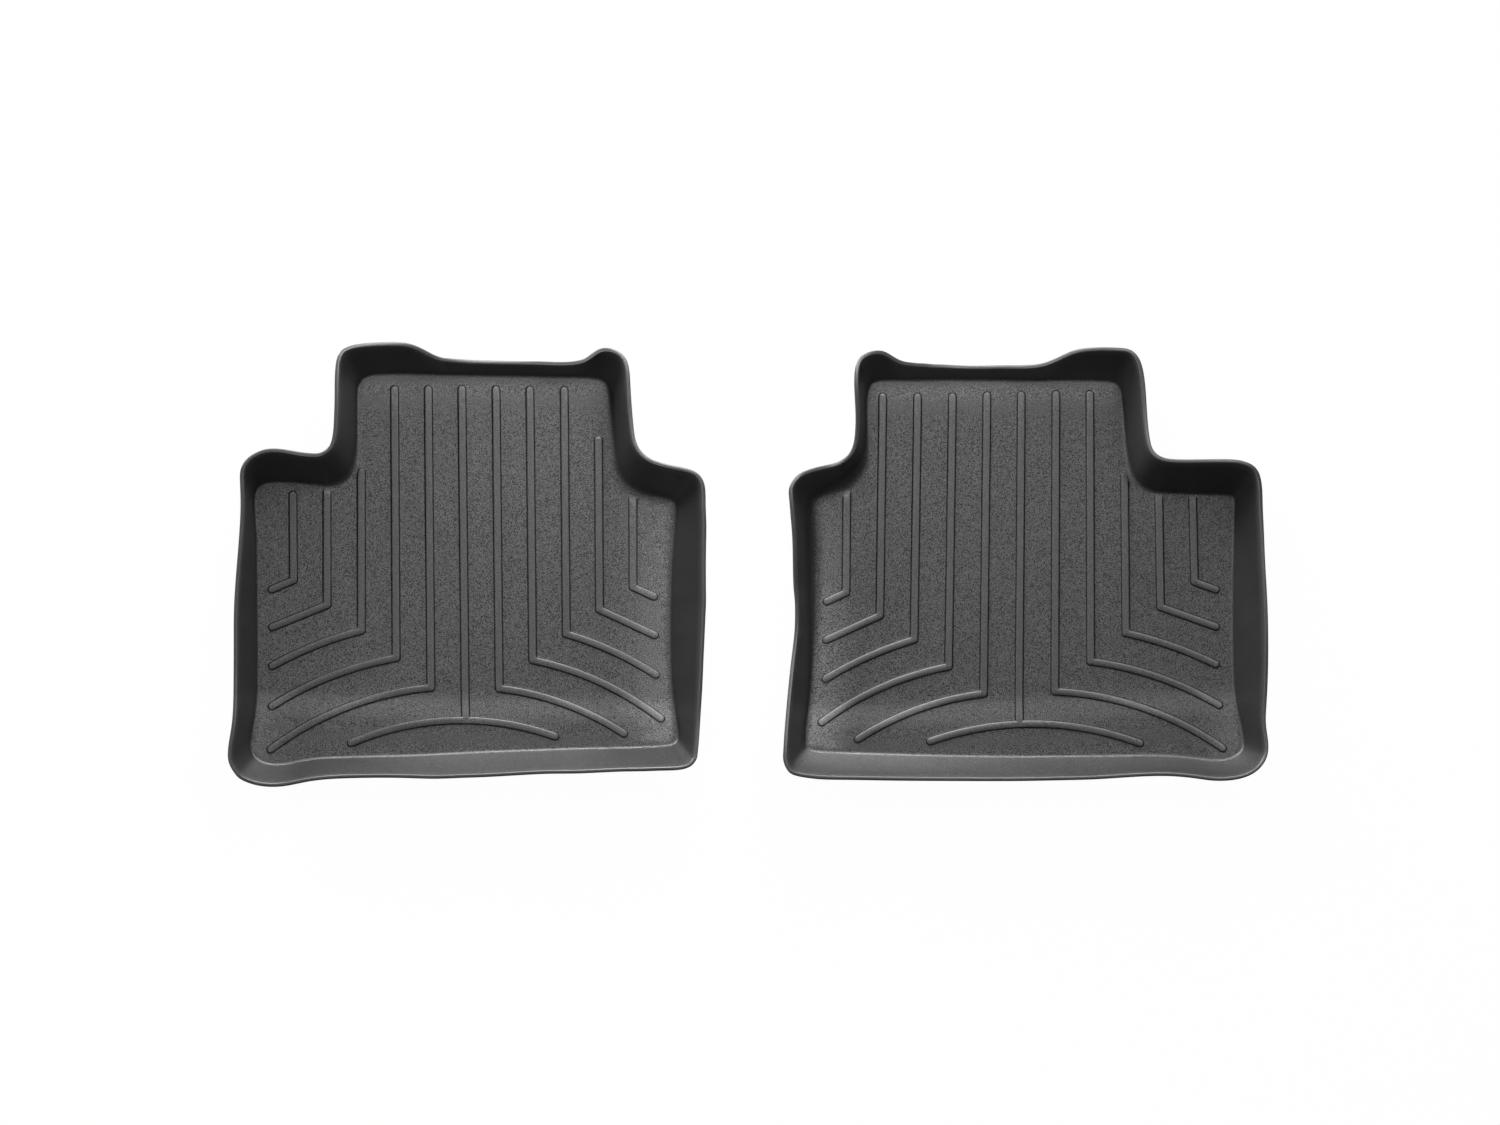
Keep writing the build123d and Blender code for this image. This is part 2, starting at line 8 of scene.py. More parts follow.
import bpy
import numpy as np
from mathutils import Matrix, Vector
from mathutils.geometry import delaunay_2d_cdt


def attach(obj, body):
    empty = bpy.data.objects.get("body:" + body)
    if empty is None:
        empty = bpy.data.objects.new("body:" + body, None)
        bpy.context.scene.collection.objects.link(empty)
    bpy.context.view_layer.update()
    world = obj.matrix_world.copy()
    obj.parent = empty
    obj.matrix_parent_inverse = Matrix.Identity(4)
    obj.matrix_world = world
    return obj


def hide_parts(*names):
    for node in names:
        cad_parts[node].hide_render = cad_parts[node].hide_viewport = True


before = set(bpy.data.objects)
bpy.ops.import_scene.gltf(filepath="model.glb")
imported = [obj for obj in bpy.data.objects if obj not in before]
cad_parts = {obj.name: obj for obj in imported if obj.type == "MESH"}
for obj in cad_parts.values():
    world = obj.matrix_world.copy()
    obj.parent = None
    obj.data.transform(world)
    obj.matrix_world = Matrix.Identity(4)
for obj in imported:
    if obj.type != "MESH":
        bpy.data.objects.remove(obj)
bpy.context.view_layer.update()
scene = bpy.context.scene

# --------------------------------------------------------------------------- sizes, mm
SHEET = 4.0                               # thickness of the moulding
STEP_SLOPE, STEP_RUN = 0.17, 22.0         # the step up to the heel pad
PAD_SLOPE = 0.03                          # the heel pad behind it
STEP_FOOT_R, STEP_HEAD_R = 60.0, 60.0
RIM_R = 1.3
WALL_FOOT_R = 3.8
PROBE = 0.5                               # distance over which an edge's slope is taken
FLANK_PROBE = 0.3                         # the same for the facing of a rib's flank

# Mesh steps across the wall, from the floor over the rim to the underside.
FOOT_IN, WALL, RIM_IN, LAND, RIM_OUT, FOOT_OUT = 9, 12, 5, 2, 6, 8
CAP_STEPS = 7                             # round end of a rib
COLUMN_GAP, COLUMN_TURN = 3.4, 0.12       # widest spacing (mm) and turn (radians) of wall columns
SAMPLES = 6000                            # fine samples round a loop, used to place the columns

# Section of a drainage rib: distance from its centre line, height above the floor.
RIB_SECTION = [
    (2.5, 1.90), (3.0, 1.87), (3.35, 1.76), (3.62, 1.56), (3.85, 1.28), (4.05, 0.96),
    (4.25, 0.63), (4.48, 0.33), (4.75, 0.13), (5.1, 0.03), (5.6, 0.0)]
RIB_OFFSET = np.array([0.0] + [offset for offset, _ in RIB_SECTION])
RIB_HEIGHT = np.array([RIB_SECTION[0][1]] + [height for _, height in RIB_SECTION])

# --------------------------------------------------------------------------- finish and light
WALL_VALUE, FLOOR_VALUE, PAINTED_HIGHLIGHT_VALUE = 0.017, 0.0172, 0.038      # paint values; the painted highlight value is added on top
PAINTED_LIGHT_GAIN, HEEL_GRAIN = 2.0, 0.8          # painted light: brightening by the heel mark; grain of the heel wall
SPECKLE, GLINT = 0.78, 0.62               # the grain's share in colour and in specular
WALL_ROUGH, FLOOR_ROUGH, SPECULAR, GRAIN_BUMP = 0.36, 0.46, 0.8, 0.9
FRONT_BAND = 48.0                         # mm of floor painted brighter towards the front

# Round lamps aimed at the origin: x, y, z, diameter in metres, then watts.
LAMPS = [
    (0.00, 1.68, 3.64, 1.8, 18.0), (1.48, 0.84, 3.64, 1.8, 33.0), (-1.48, -0.84, 3.64, 1.8, 14.0),
    (1.80, 1.80, 3.08, 1.8, 17.0), (-1.80, -1.80, 3.08, 1.8, 30.0), (-1.80, 1.80, 3.08, 1.8, 18.0),
    (0.00, 3.72, 1.48, 1.8, 82.0), (1.00, 3.80, 0.68, 1.8, 105.0), (-2.80, 2.60, 0.95, 1.8, 230.0),
    (0.00, 0.60, 0.30, 0.5, 3.0), (0.00, 0.60, 0.55, 0.5, 2.9), (0.00, 0.60, 0.90, 0.5, 2.7),
    (0.00, 0.60, 1.40, 0.5, 1.1)]
LAMP_GAIN = 0.79
DOME = 0.0                                # light from the world
SWEEP = 0.98                              # share of the white sweep that no shadow reaches

# Camera, metres: above the trays, moved to -x and tilted back towards them.
CAMERA_DISTANCE, CAMERA_TILT = 9.0, math.radians(7.0)
VIEW_WIDTH, VIEW_X, VIEW_Y = 1.575, 0.00492, 0.00189
SENSOR = 36.0                             # mm

# --------------------------------------------------------------------------- outlines, mm
# Stations round each tray, counter-clockwise from the middle of the heel edge:
# foot of the inner wall (x, y), then the outer rim (x, y, z).
LEFT_WALL = [
    (-290.4, -197.1, -294.2, -222.6, 54.6), (-240.9, -195.3, -240.5, -220.0, 55.1),
    (-216.2, -194.5, -213.6, -218.8, 55.7), (-191.4, -193.7, -186.8, -218.6, 56.6),
    (-141.7, -192.7, -133.1, -216.5, 58.6), (-121.9, -192.3, -111.5, -216.2, 58.9),
    (-107.0, -191.9, -95.3, -215.7, 58.6), (-92.1, -191.1, -79.0, -215.3, 57.9),
    (-82.2, -190.1, -68.3, -213.4, 57.3), (-77.5, -188.5, -63.4, -211.0, 56.9),
    (-73.9, -185.2, -59.6, -207.2, 56.5), (-72.3, -181.3, -57.2, -202.8, 56.1),
    (-71.8, -177.2, -56.3, -197.9, 55.6), (-72.1, -173.0, -55.7, -192.9, 55.2),
    (-74.0, -160.7, -54.2, -177.8, 54.0), (-76.7, -140.1, -52.3, -152.7, 52.7),
    (-78.5, -119.3, -50.7, -127.5, 53.5), (-79.5, -94.2, -49.6, -97.3, 55.4),
    (-79.7, -77.5, -48.8, -77.1, 56.8), (-79.8, -56.6, -47.9, -52.0, 58.3),
    (-79.6, -48.3, -47.5, -41.9, 58.9), (-79.4, -35.7, -47.6, -26.8, 59.7),
    (-77.9, 6.0, -47.8, 23.6, 62.0), (-76.9, 22.7, -47.8, 43.8, 63.0),
    (-76.1, 35.2, -48.5, 58.9, 63.7), (-75.1, 47.7, -48.9, 74.0, 64.4),
    (-74.4, 56.0, -50.1, 84.0, 64.9), (-75.6, 64.2, -54.7, 92.9, 65.3),
    (-83.3, 69.1, -63.1, 98.7, 65.7), (-92.4, 71.4, -73.0, 101.7, 65.7),
    (-107.6, 75.1, -89.7, 105.1, 64.5), (-113.6, 77.0, -96.2, 107.0, 63.6),
    (-121.9, 81.2, -105.7, 110.6, 61.9), (-130.7, 90.0, -116.3, 119.0, 59.7),
    (-134.2, 97.5, -120.6, 126.4, 58.9), (-137.6, 113.8, -123.9, 143.4, 57.9),
    (-141.8, 155.3, -127.2, 186.8, 58.3), (-142.8, 171.9, -128.6, 204.1, 58.2),
    (-143.7, 180.2, -130.8, 212.5, 57.6), (-146.6, 188.0, -135.6, 219.7, 56.7),
    (-153.4, 193.1, -144.0, 224.9, 55.2), (-166.2, 195.7, -158.6, 225.4, 51.9),
    (-170.6, 196.0, -163.1, 223.2, 50.5), (-183.6, 196.7, -175.1, 214.6, 46.0),
    (-188.0, 196.8, -179.8, 213.1, 44.3), (-196.7, 196.9, -189.5, 211.7, 41.1),
    (-222.9, 197.2, -219.2, 212.3, 33.5), (-240.4, 197.4, -239.3, 212.5, 31.0),
    (-270.9, 197.8, -274.9, 213.2, 31.6), (-283.9, 198.0, -290.4, 213.5, 34.0),
    (-297.0, 198.3, -305.9, 214.2, 37.8), (-305.7, 198.4, -316.3, 214.9, 41.0),
    (-310.1, 198.5, -321.5, 215.3, 42.8), (-318.8, 198.6, -331.5, 218.2, 46.6),
    (-327.5, 198.7, -340.7, 222.7, 50.4), (-344.9, 199.0, -359.9, 230.2, 57.6),
    (-357.9, 199.1, -375.4, 231.3, 62.0), (-370.9, 199.2, -390.8, 230.9, 65.7),
    (-384.0, 198.9, -406.1, 229.7, 68.6), (-396.8, 197.2, -421.1, 227.0, 70.9),
    (-404.1, 192.7, -430.2, 222.5, 72.2), (-408.3, 185.4, -434.9, 215.4, 73.3),
    (-409.4, 176.9, -436.7, 207.1, 74.2), (-409.5, 168.4, -437.5, 198.5, 75.0),
    (-409.4, 142.9, -438.0, 172.9, 75.8), (-410.4, 117.5, -438.8, 147.4, 75.1),
    (-414.6, 101.0, -440.6, 130.5, 73.9), (-418.7, 93.6, -443.8, 122.7, 73.2),
    (-421.4, 90.4, -446.6, 120.0, 72.8), (-428.3, 85.8, -453.1, 116.1, 72.1),
    (-436.4, 83.6, -460.8, 115.6, 71.4), (-449.0, 83.6, -472.3, 116.8, 70.5),
    (-490.8, 86.2, -510.6, 119.5, 68.7), (-503.3, 85.3, -521.2, 115.1, 68.4),
    (-510.9, 82.0, -527.6, 110.6, 68.2), (-516.7, 70.0, -534.8, 97.8, 67.7),
    (-516.9, 60.6, -535.3, 86.8, 67.2), (-515.4, 41.7, -534.6, 64.7, 65.8),
    (-514.2, 13.3, -535.9, 31.5, 63.3), (-513.7, -34.0, -540.2, -23.7, 61.0),
    (-513.5, -52.9, -541.4, -45.9, 60.8), (-513.3, -81.3, -541.7, -79.1, 61.0),
    (-513.3, -114.5, -541.9, -117.9, 62.1), (-513.5, -128.7, -542.1, -134.5, 63.3),
    (-516.3, -156.9, -544.3, -167.6, 66.6), (-519.5, -175.5, -547.7, -189.4, 67.4),
    (-520.7, -189.6, -547.0, -205.9, 66.8), (-518.1, -198.6, -541.8, -215.7, 66.1),
    (-515.0, -202.2, -538.3, -220.1, 65.6), (-506.5, -207.1, -529.2, -225.7, 64.5),
    (-496.9, -209.1, -519.0, -229.0, 63.3), (-482.2, -208.5, -503.0, -231.1, 61.5),
    (-467.7, -205.6, -487.0, -230.2, 59.7), (-448.3, -202.8, -465.8, -226.2, 57.6),
    (-423.7, -201.7, -439.1, -223.3, 55.1), (-399.0, -201.1, -412.2, -222.5, 53.2),
    (-349.7, -199.8, -358.5, -222.9, 52.8), (-325.0, -198.7, -331.7, -223.7, 53.7),
    (-300.3, -197.6, -304.9, -222.9, 54.4),
]
RIGHT_WALL = [
    (282.8, -202.9, 276.2, -227.9, 55.1), (334.0, -202.8, 332.9, -227.1, 54.7),
    (354.4, -202.7, 355.6, -226.6, 54.8), (385.2, -202.5, 389.5, -224.7, 55.4),
    (436.4, -202.4, 445.7, -223.1, 58.9), (462.1, -203.7, 473.6, -226.0, 60.7),
    (472.2, -205.0, 484.8, -227.5, 60.9), (487.5, -206.9, 502.0, -227.8, 60.5),
    (517.8, -203.9, 534.7, -218.0, 57.6), (525.4, -198.0, 542.4, -210.2, 56.5),
    (528.7, -189.5, 547.0, -200.7, 55.5), (528.2, -180.4, 548.1, -190.3, 54.9),
    (524.9, -162.4, 545.7, -169.4, 54.4), (521.3, -144.5, 546.2, -148.4, 54.6),
    (519.4, -126.3, 547.3, -127.4, 55.4), (518.3, -98.8, 547.6, -95.8, 57.7),
    (518.0, -52.9, 546.5, -43.2, 59.3), (518.3, -7.0, 543.6, 9.3, 59.2),
    (519.1, 20.5, 542.1, 40.8, 59.9), (519.7, 38.8, 540.8, 61.8, 61.4),
    (520.6, 57.2, 539.4, 82.7, 63.8), (520.7, 66.3, 537.2, 93.0, 65.2),
    (519.2, 70.6, 535.1, 97.9, 66.0), (514.5, 73.2, 531.7, 102.6, 66.7),
    (503.7, 74.2, 521.5, 108.4, 68.0), (482.0, 74.8, 498.2, 111.2, 69.6),
    (449.5, 76.0, 463.4, 110.8, 68.4), (433.4, 77.9, 446.3, 111.1, 66.4),
    (418.9, 84.7, 429.8, 114.8, 64.3), (412.9, 92.2, 423.0, 121.9, 62.9),
    (409.7, 100.0, 420.6, 130.2, 61.9), (405.8, 116.6, 418.5, 147.5, 60.6),
    (403.1, 142.0, 416.7, 173.6, 60.7), (401.1, 167.4, 413.9, 199.5, 62.2),
    (400.2, 175.8, 412.0, 208.0, 62.9), (398.5, 184.2, 408.8, 216.1, 63.6),
    (393.3, 190.9, 402.8, 223.4, 64.2), (389.1, 192.6, 398.5, 226.0, 64.4),
    (380.2, 193.7, 388.5, 227.8, 64.6), (375.7, 193.9, 383.5, 228.1, 64.6),
    (357.7, 194.2, 363.4, 228.2, 63.0), (335.1, 194.2, 339.3, 224.8, 57.4),
    (312.6, 194.3, 317.6, 214.7, 48.8), (303.6, 194.3, 308.6, 211.5, 45.0),
    (290.1, 194.4, 294.4, 209.7, 39.8), (267.6, 194.5, 270.0, 209.7, 33.3),
    (245.2, 194.6, 245.1, 209.2, 30.3), (222.7, 194.7, 219.6, 209.6, 30.7),
    (204.8, 194.6, 198.9, 210.4, 33.8), (200.3, 194.5, 193.7, 210.5, 34.9),
    (191.3, 194.4, 183.2, 211.3, 37.8), (186.8, 194.4, 177.9, 211.4, 39.5),
    (177.9, 194.3, 167.3, 212.3, 43.1), (173.4, 194.2, 162.0, 213.0, 45.1),
    (164.4, 194.1, 152.2, 216.7, 49.2), (151.0, 193.9, 138.1, 223.8, 55.2),
    (142.0, 193.4, 127.7, 224.0, 58.8), (133.6, 190.6, 117.8, 220.7, 61.8),
    (130.6, 187.3, 113.5, 217.7, 63.1), (128.2, 180.1, 108.6, 210.3, 65.0),
    (127.0, 168.8, 106.2, 197.3, 66.4), (126.9, 153.5, 106.5, 179.8, 65.7),
    (126.8, 134.5, 108.1, 157.9, 61.6), (124.9, 115.5, 108.2, 136.1, 56.0),
    (122.6, 108.3, 107.2, 127.4, 54.0), (118.6, 101.7, 104.4, 119.2, 52.4),
    (108.1, 89.9, 92.0, 108.2, 50.9), (95.9, 82.2, 76.8, 104.1, 54.1),
    (87.1, 78.4, 66.4, 101.8, 57.7), (80.4, 75.5, 58.7, 99.6, 60.6),
    (74.0, 72.2, 51.3, 96.7, 63.4), (69.6, 66.6, 44.8, 92.3, 65.6),
    (68.2, 62.4, 41.3, 88.4, 66.1), (67.4, 53.8, 37.0, 79.1, 66.8),
    (67.6, 45.0, 37.3, 68.7, 67.0), (67.9, 31.9, 38.7, 53.2, 66.2),
    (68.3, 18.8, 40.3, 37.8, 64.4), (69.4, -24.8, 43.0, -14.0, 54.8),
    (69.6, -33.5, 43.7, -24.4, 53.0), (69.7, -46.6, 45.3, -39.9, 51.1),
    (69.7, -55.4, 45.6, -50.3, 50.4), (69.8, -68.5, 45.3, -65.8, 50.2),
    (69.5, -90.3, 42.3, -91.6, 52.5), (68.7, -112.1, 38.8, -117.3, 56.7),
    (64.7, -155.6, 33.0, -168.7, 65.5), (62.8, -168.5, 31.6, -184.2, 67.9),
    (61.7, -177.2, 30.9, -194.5, 69.0), (61.4, -185.9, 30.8, -204.8, 69.6),
    (61.9, -190.2, 32.2, -209.8, 69.7), (69.0, -195.9, 38.2, -218.5, 69.7),
    (74.0, -197.0, 43.3, -220.8, 69.6), (84.1, -197.8, 54.4, -223.1, 69.1),
    (94.3, -198.3, 65.6, -224.5, 68.5), (119.7, -199.2, 94.0, -225.6, 66.4),
    (170.6, -200.7, 151.0, -226.8, 61.5), (221.6, -202.0, 208.0, -227.5, 57.5),
    (272.6, -202.8, 264.9, -227.9, 55.3),
]

# Centre lines of the ribs (x, y pairs): front end and corner of the straight run, then for all
# but one rib of each tray the middle and end of the arc that follows it.
LEFT_RIBS = [
    (-475.9, 72.3, -475.3, -16.8, -486.5, -21.6, -497.7, -26.3),
    (-440.3, 76.2, -440.2, -42.6, -468.7, -53.0, -497.2, -65.7),
    (-404.5, 96.3, -404.4, -69.5, -450.8, -84.3, -497.2, -106.1),
    (-369.7, 182.5, -368.0, -98.1, -432.9, -115.8, -497.8, -148.0),
    (-334.4, 182.6, -331.6, -129.1, -415.5, -147.7, -499.3, -192.9),
    (-299.2, 182.7, -295.4, -163.4),
    (-263.3, 182.8, -260.0, -130.1, -194.6, -145.1, -129.4, -177.4),
    (-227.7, 182.3, -224.9, -100.5, -157.6, -121.8, -90.6, -161.7),
    (-191.7, 181.9, -189.5, -73.1, -142.6, -90.3, -95.5, -115.8),
    (-155.7, 130.2, -154.6, -47.5, -125.6, -59.7, -96.6, -74.4),
    (-119.5, 80.5, -119.3, -24.0, -108.3, -28.9, -97.4, -34.0),
]
RIGHT_RIBS = [
    (106.6, 73.8, 105.8, -30.0, 95.7, -34.3, 85.5, -39.2),
    (144.9, 176.0, 141.7, -54.2, 113.3, -65.5, 85.0, -79.5),
    (181.9, 176.1, 178.0, -79.6, 131.1, -96.5, 84.2, -120.6),
    (218.9, 176.2, 214.7, -107.9, 147.4, -128.0, 79.8, -166.1),
    (255.6, 177.6, 251.9, -136.5, 185.0, -151.6, 117.9, -183.8),
    (292.2, 178.2, 289.5, -168.0),
    (329.1, 179.1, 327.9, -134.3, 417.0, -150.1, 506.2, -194.4),
    (365.3, 179.2, 366.1, -102.7, 434.6, -118.0, 502.9, -148.9),
    (402.3, 92.7, 403.7, -72.8, 451.7, -86.0, 499.8, -105.9),
    (438.9, 75.4, 440.8, -45.3, 470.3, -54.6, 499.8, -66.0),
    (475.0, 71.5, 477.2, -18.8, 488.5, -22.9, 499.8, -26.9),
]

# The two trays.
#   step        heel step's foot line: a point on it (x, y) and its skew
#   heel_arc    start, middle and end of the rib along the heel
#   foot_swell  places where the wall's foot is rounder: x, y, reach, radius
#   crown       height of the floor, lost over front_reach before y = front
#   inward      sign of x towards the other tray
#   ramp_*      climb to the inward wall: start, run, low and high steepness, y of each
#   heel_x      ends of the heel; corner, corner_reach: steepness and width of its corner climbs
#    gleam       painted highlight on front-facing rib shoulders: everywhere, extra near x = 0
#    bright      painted light on the ramp; bright_front: painted light near the front edge
#    heel_at     x stations along the heel wall with its heel_shine, the painted light there; heel_top: share of it left at the rim
LEFT_TRAY = SimpleNamespace(
    mesh="left_liner_moulding", body="left_liner", node="left_floor_liner",
    wall=LEFT_WALL, ribs=LEFT_RIBS, step=(-291.8, -138.8, -0.0175),
    heel_arc=(-415.3, -186.6, -308.6, -163.2, -201.8, -180.2),
    foot_swell=[(-418.0, 92.0, 26.0, 10.0), (-126.0, 84.0, 36.0, 14.0),
                (-132.0, 140.0, 50.0, 7.0)],
    front=193.0, front_reach=52.0, crown=1.2,
    inward=1.0, ramp_x=-148.0, ramp_run=66.0, ramp_low=0.02, ramp_high=0.09, ramp_y=(-60.0, 70.0),
    heel_x=(-518.0, -76.0), corner=0.045, corner_reach=55.0,
    gleam=(0.7, 4.2), bright=1.5, bright_front=1.1,
    heel_at=(-540.0, -480.0, -455.0, -420.0, -385.0, -330.0, -220.0, -120.0, -70.0),
    heel_shine=(0.9, 0.9, 0.05, 0.05, 0.30, 0.75, 0.80, 0.10, 0.0), heel_top=0.35)
RIGHT_TRAY = SimpleNamespace(
    mesh="right_liner_moulding", body="right_liner", node="right_floor_liner",
    wall=RIGHT_WALL, ribs=RIGHT_RIBS, step=(288.8, -142.1, 0.0366),
    heel_arc=(194.7, -186.3, 306.3, -168.2, 418.0, -189.0),
    foot_swell=[(112.0, 88.0, 32.0, 19.0), (413.0, 92.0, 22.0, 9.0),
                (70.0, 30.0, 70.0, 15.0), (70.0, -30.0, 50.0, 12.0)],
    front=191.0, front_reach=60.0, crown=1.2,
    inward=-1.0, ramp_x=124.0, ramp_run=56.0, ramp_low=0.0, ramp_high=0.11, ramp_y=(-40.0, 45.0),
    heel_x=(64.0, 526.0), corner=0.05, corner_reach=60.0,
    gleam=(2.2, 2.8), bright=1.8, bright_front=1.8,
    heel_at=(50.0, 120.0, 240.0, 330.0, 450.0, 530.0),
    heel_shine=(2.2, 2.1, 0.85, 0.60, 0.80, 0.80), heel_top=0.0)


# --------------------------------------------------------------------------- floor surface
def ease(t):
    t = np.clip(t, 0, 1)
    return t * t * (3 - 2 * t)


def past_step(step, x, y):
    """Distance behind the heel step's foot line, towards the heel."""
    turn = math.atan(step[2])
    return (x - step[0]) * math.sin(turn) - (y - step[1]) * math.cos(turn)


def heel_edge(tray, x):
    """Distance in from the nearer end of the heel."""
    return np.minimum(x - tray.heel_x[0], tray.heel_x[1] - x)


def near_front(tray, y):
    return ease((y - tray.front + FRONT_BAND) / FRONT_BAND)


def floor_height(step, x, y, drop=0.0):
    """Height of the floor's upper surface, lowered square to the sheet by drop."""
    rise, pad = math.atan(STEP_SLOPE), math.atan(PAD_SLOPE)
    foot_r, head_r = STEP_FOOT_R + drop, STEP_HEAD_R - drop
    trim = STEP_HEAD_R * math.tan((rise - pad) / 2)
    # centres of the two roundings
    foot_x, foot_z = -STEP_FOOT_R * math.tan(rise / 2), SHEET + STEP_FOOT_R
    head_x = STEP_RUN - trim * math.cos(rise) + STEP_HEAD_R * math.sin(rise)
    head_z = (SHEET + STEP_RUN * STEP_SLOPE - trim * math.sin(rise)
              - STEP_HEAD_R * math.cos(rise))
    # starts of the slope, the head rounding and the pad
    slope_x, slope_z = foot_x + foot_r * math.sin(rise), foot_z - foot_r * math.cos(rise)
    bend_x = head_x - head_r * math.sin(rise)
    pad_x, pad_z = head_x - head_r * math.sin(pad), head_z + head_r * math.cos(pad)
    past = past_step(step, x, y)
    foot_arc = foot_z - np.sqrt(np.maximum(foot_r**2 - (past - foot_x) ** 2, 0))
    head_arc = head_z + np.sqrt(np.maximum(head_r**2 - (past - head_x) ** 2, 0))
    z = np.full(past.shape, SHEET - drop)
    z = np.where(past > foot_x, foot_arc, z)
    z = np.where(past > slope_x, slope_z + (past - slope_x) * STEP_SLOPE, z)
    z = np.where(past > bend_x, head_arc, z)
    return np.where(past > pad_x, pad_z + (past - pad_x) * PAD_SLOPE, z)


def relief(tray, x, y):
    """Slow rise and fall of the floor: it drops a little to the front edge, climbs towards the
    wall on the side of the other tray, and climbs in the two heel corners."""
    reach = tray.front_reach
    z = tray.crown * (1 - np.clip((y - tray.front + reach) / reach, 0, 1) ** 2)
    into = np.clip(tray.inward * (x - tray.ramp_x), 0, None)
    low_y, high_y = tray.ramp_y
    steepness = (tray.ramp_low
                 + (tray.ramp_high - tray.ramp_low) * ease((y - low_y) / (high_y - low_y)))
    z = z + 0.5 * steepness * into ** 2 / tray.ramp_run
    on_pad = np.clip(past_step(tray.step, x, y) - STEP_RUN, 0, None)
    return z + tray.corner * on_pad * ease(1 - heel_edge(tray, x) / tray.corner_reach)


def floor_top(tray, x, y):
    return floor_height(tray.step, x, y) + relief(tray, x, y)


def floor_under(tray, x, y):
    return floor_height(tray.step, x, y, SHEET)


# --------------------------------------------------------------------------- smooth closed loops
def unit(vectors):
    return vectors / np.linalg.norm(vectors, axis=-1, keepdims=True)


def right_normal(direction):
    """Unit normals to the right of plan directions: outward on a counter-clockwise loop."""
    return unit(np.stack([direction[:, 1], -direction[:, 0]], 1))


def shares(loop):
    """Share of the loop's length at each point, from 0 to 1."""
    lengths = np.linalg.norm(np.roll(loop, -1, 0) - loop, axis=1)
    return np.r_[0, np.cumsum(lengths)] / lengths.sum()


def outward(loop, share):
    """Plan normals at unevenly spaced points, from the parabola through three neighbours."""
    after = np.diff(share)[:, None]
    before = np.roll(after, 1, 0)
    last, following = np.roll(loop, 1, 0), np.roll(loop, -1, 0)
    return right_normal(-after / (before * (before + after)) * last
                        + (after - before) / (before * after) * loop
                        + before / (after * (before + after)) * following)


def closed_spline(loop, share, at):
    """Twice-continuous closed cubic spline through loop at parameters share, sampled at at."""
    count = len(loop)
    gap = np.diff(share)
    gap_before = np.roll(gap, 1)
    matrix = np.zeros((count, count))
    i = np.arange(count)
    matrix[i, i] = 2 * (gap_before + gap)
    matrix[i, (i - 1) % count] += gap_before
    matrix[i, (i + 1) % count] += gap
    following, last = np.roll(loop, -1, 0), np.roll(loop, 1, 0)
    curve = np.linalg.solve(matrix, 6 * ((following - loop) / gap[:, None]
                                         - (loop - last) / gap_before[:, None]))
    k = np.clip(np.searchsorted(share, at, side="right") - 1, 0, count - 1)
    j = (k + 1) % count
    end = ((at - share[k]) / gap[k])[:, None]
    start = 1 - end
    bow = (start**3 - start) * curve[k] + (end**3 - end) * curve[j]
    return start * loop[k] + end * loop[j] + bow * gap[k][:, None]**2 / 6


def round_corner(corner, from_dir, to_dir, radius, steps):
    """Rings of a rounded corner between two unit directions, from the from_dir side."""
    half = np.arccos(np.clip((from_dir * to_dir).sum(1), -1, 1)) / 2
    reach = (radius / np.tan(half))[:, None]
    centre = corner + unit(from_dir + to_dir) * (radius / np.sin(half))[:, None]
    start, end = corner + from_dir * reach - centre, corner + to_dir * reach - centre
    sweep = np.pi - 2 * half
    rings = []
    for k in range(steps + 1):
        part = k / steps
        start_share = np.sin((1 - part) * sweep) / np.sin(sweep)
        end_share = np.sin(part * sweep) / np.sin(sweep)
        rings.append(centre + start * start_share[:, None] + end * end_share[:, None])
    return rings


# --------------------------------------------------------------------------- distances in plan
def to_segments(points, starts, ends):
    """Distance from each point to the nearest of the segments."""
    out = np.empty(len(points))
    along = (ends - starts)[None]
    for i in range(0, len(points), 1500):
        block = points[i:i + 1500, None, :]
        t = np.clip(((block - starts[None]) * along).sum(2) / (along**2).sum(2), 0, 1)
        foot = starts[None] + t[..., None] * along
        out[i:i + 1500] = np.linalg.norm(block - foot, axis=2).min(1)
    return out


def inside(loop, points):
    """Which points lie inside a closed loop."""
    x, y = points[:, 0], points[:, 1]
    hit = np.zeros(len(points), bool)
    for (x1, y1), (x2, y2) in zip(loop, np.roll(loop, -1, 0)):
        if y1 == y2:
            continue
        spans = (y1 > y) != (y2 > y)
        hit ^= spans & (x < (x2 - x1) * (y - y1) / (y2 - y1) + x1)
    return hit


def loop_gap(loop, points):
    """Distance from points to a closed loop's own points."""
    out = np.empty(len(points))
    for i in range(0, len(points), 2000):
        block = points[i:i + 2000, None]
        out[i:i + 2000] = np.sqrt(((block - loop[None]) ** 2).sum(2).min(1))
    return out


def edge_gap(loop, points, reach=9.0):
    """Distance from points to a closed loop's edges, exact where it is below reach."""
    out = loop_gap(loop, points)
    near = np.where(out < reach)[0]
    if len(near):
        out[near] = to_segments(points[near], loop, np.roll(loop, -1, 0))
    return out


# --------------------------------------------------------------------------- ribs
def unwrapped(angle, reference):
    """The angle moved by whole turns to within half a turn of the reference."""
    while angle - reference > math.pi:
        angle -= 2 * math.pi
    while angle - reference < -math.pi:
        angle += 2 * math.pi
    return angle


def straight_line(start, end, spacing):
    (x1, y1), (x2, y2) = start, end
    count = max(2, int(math.dist(start, end) / spacing))
    return [(x1 + (x2 - x1) * k / count, y1 + (y2 - y1) * k / count) for k in range(count + 1)]


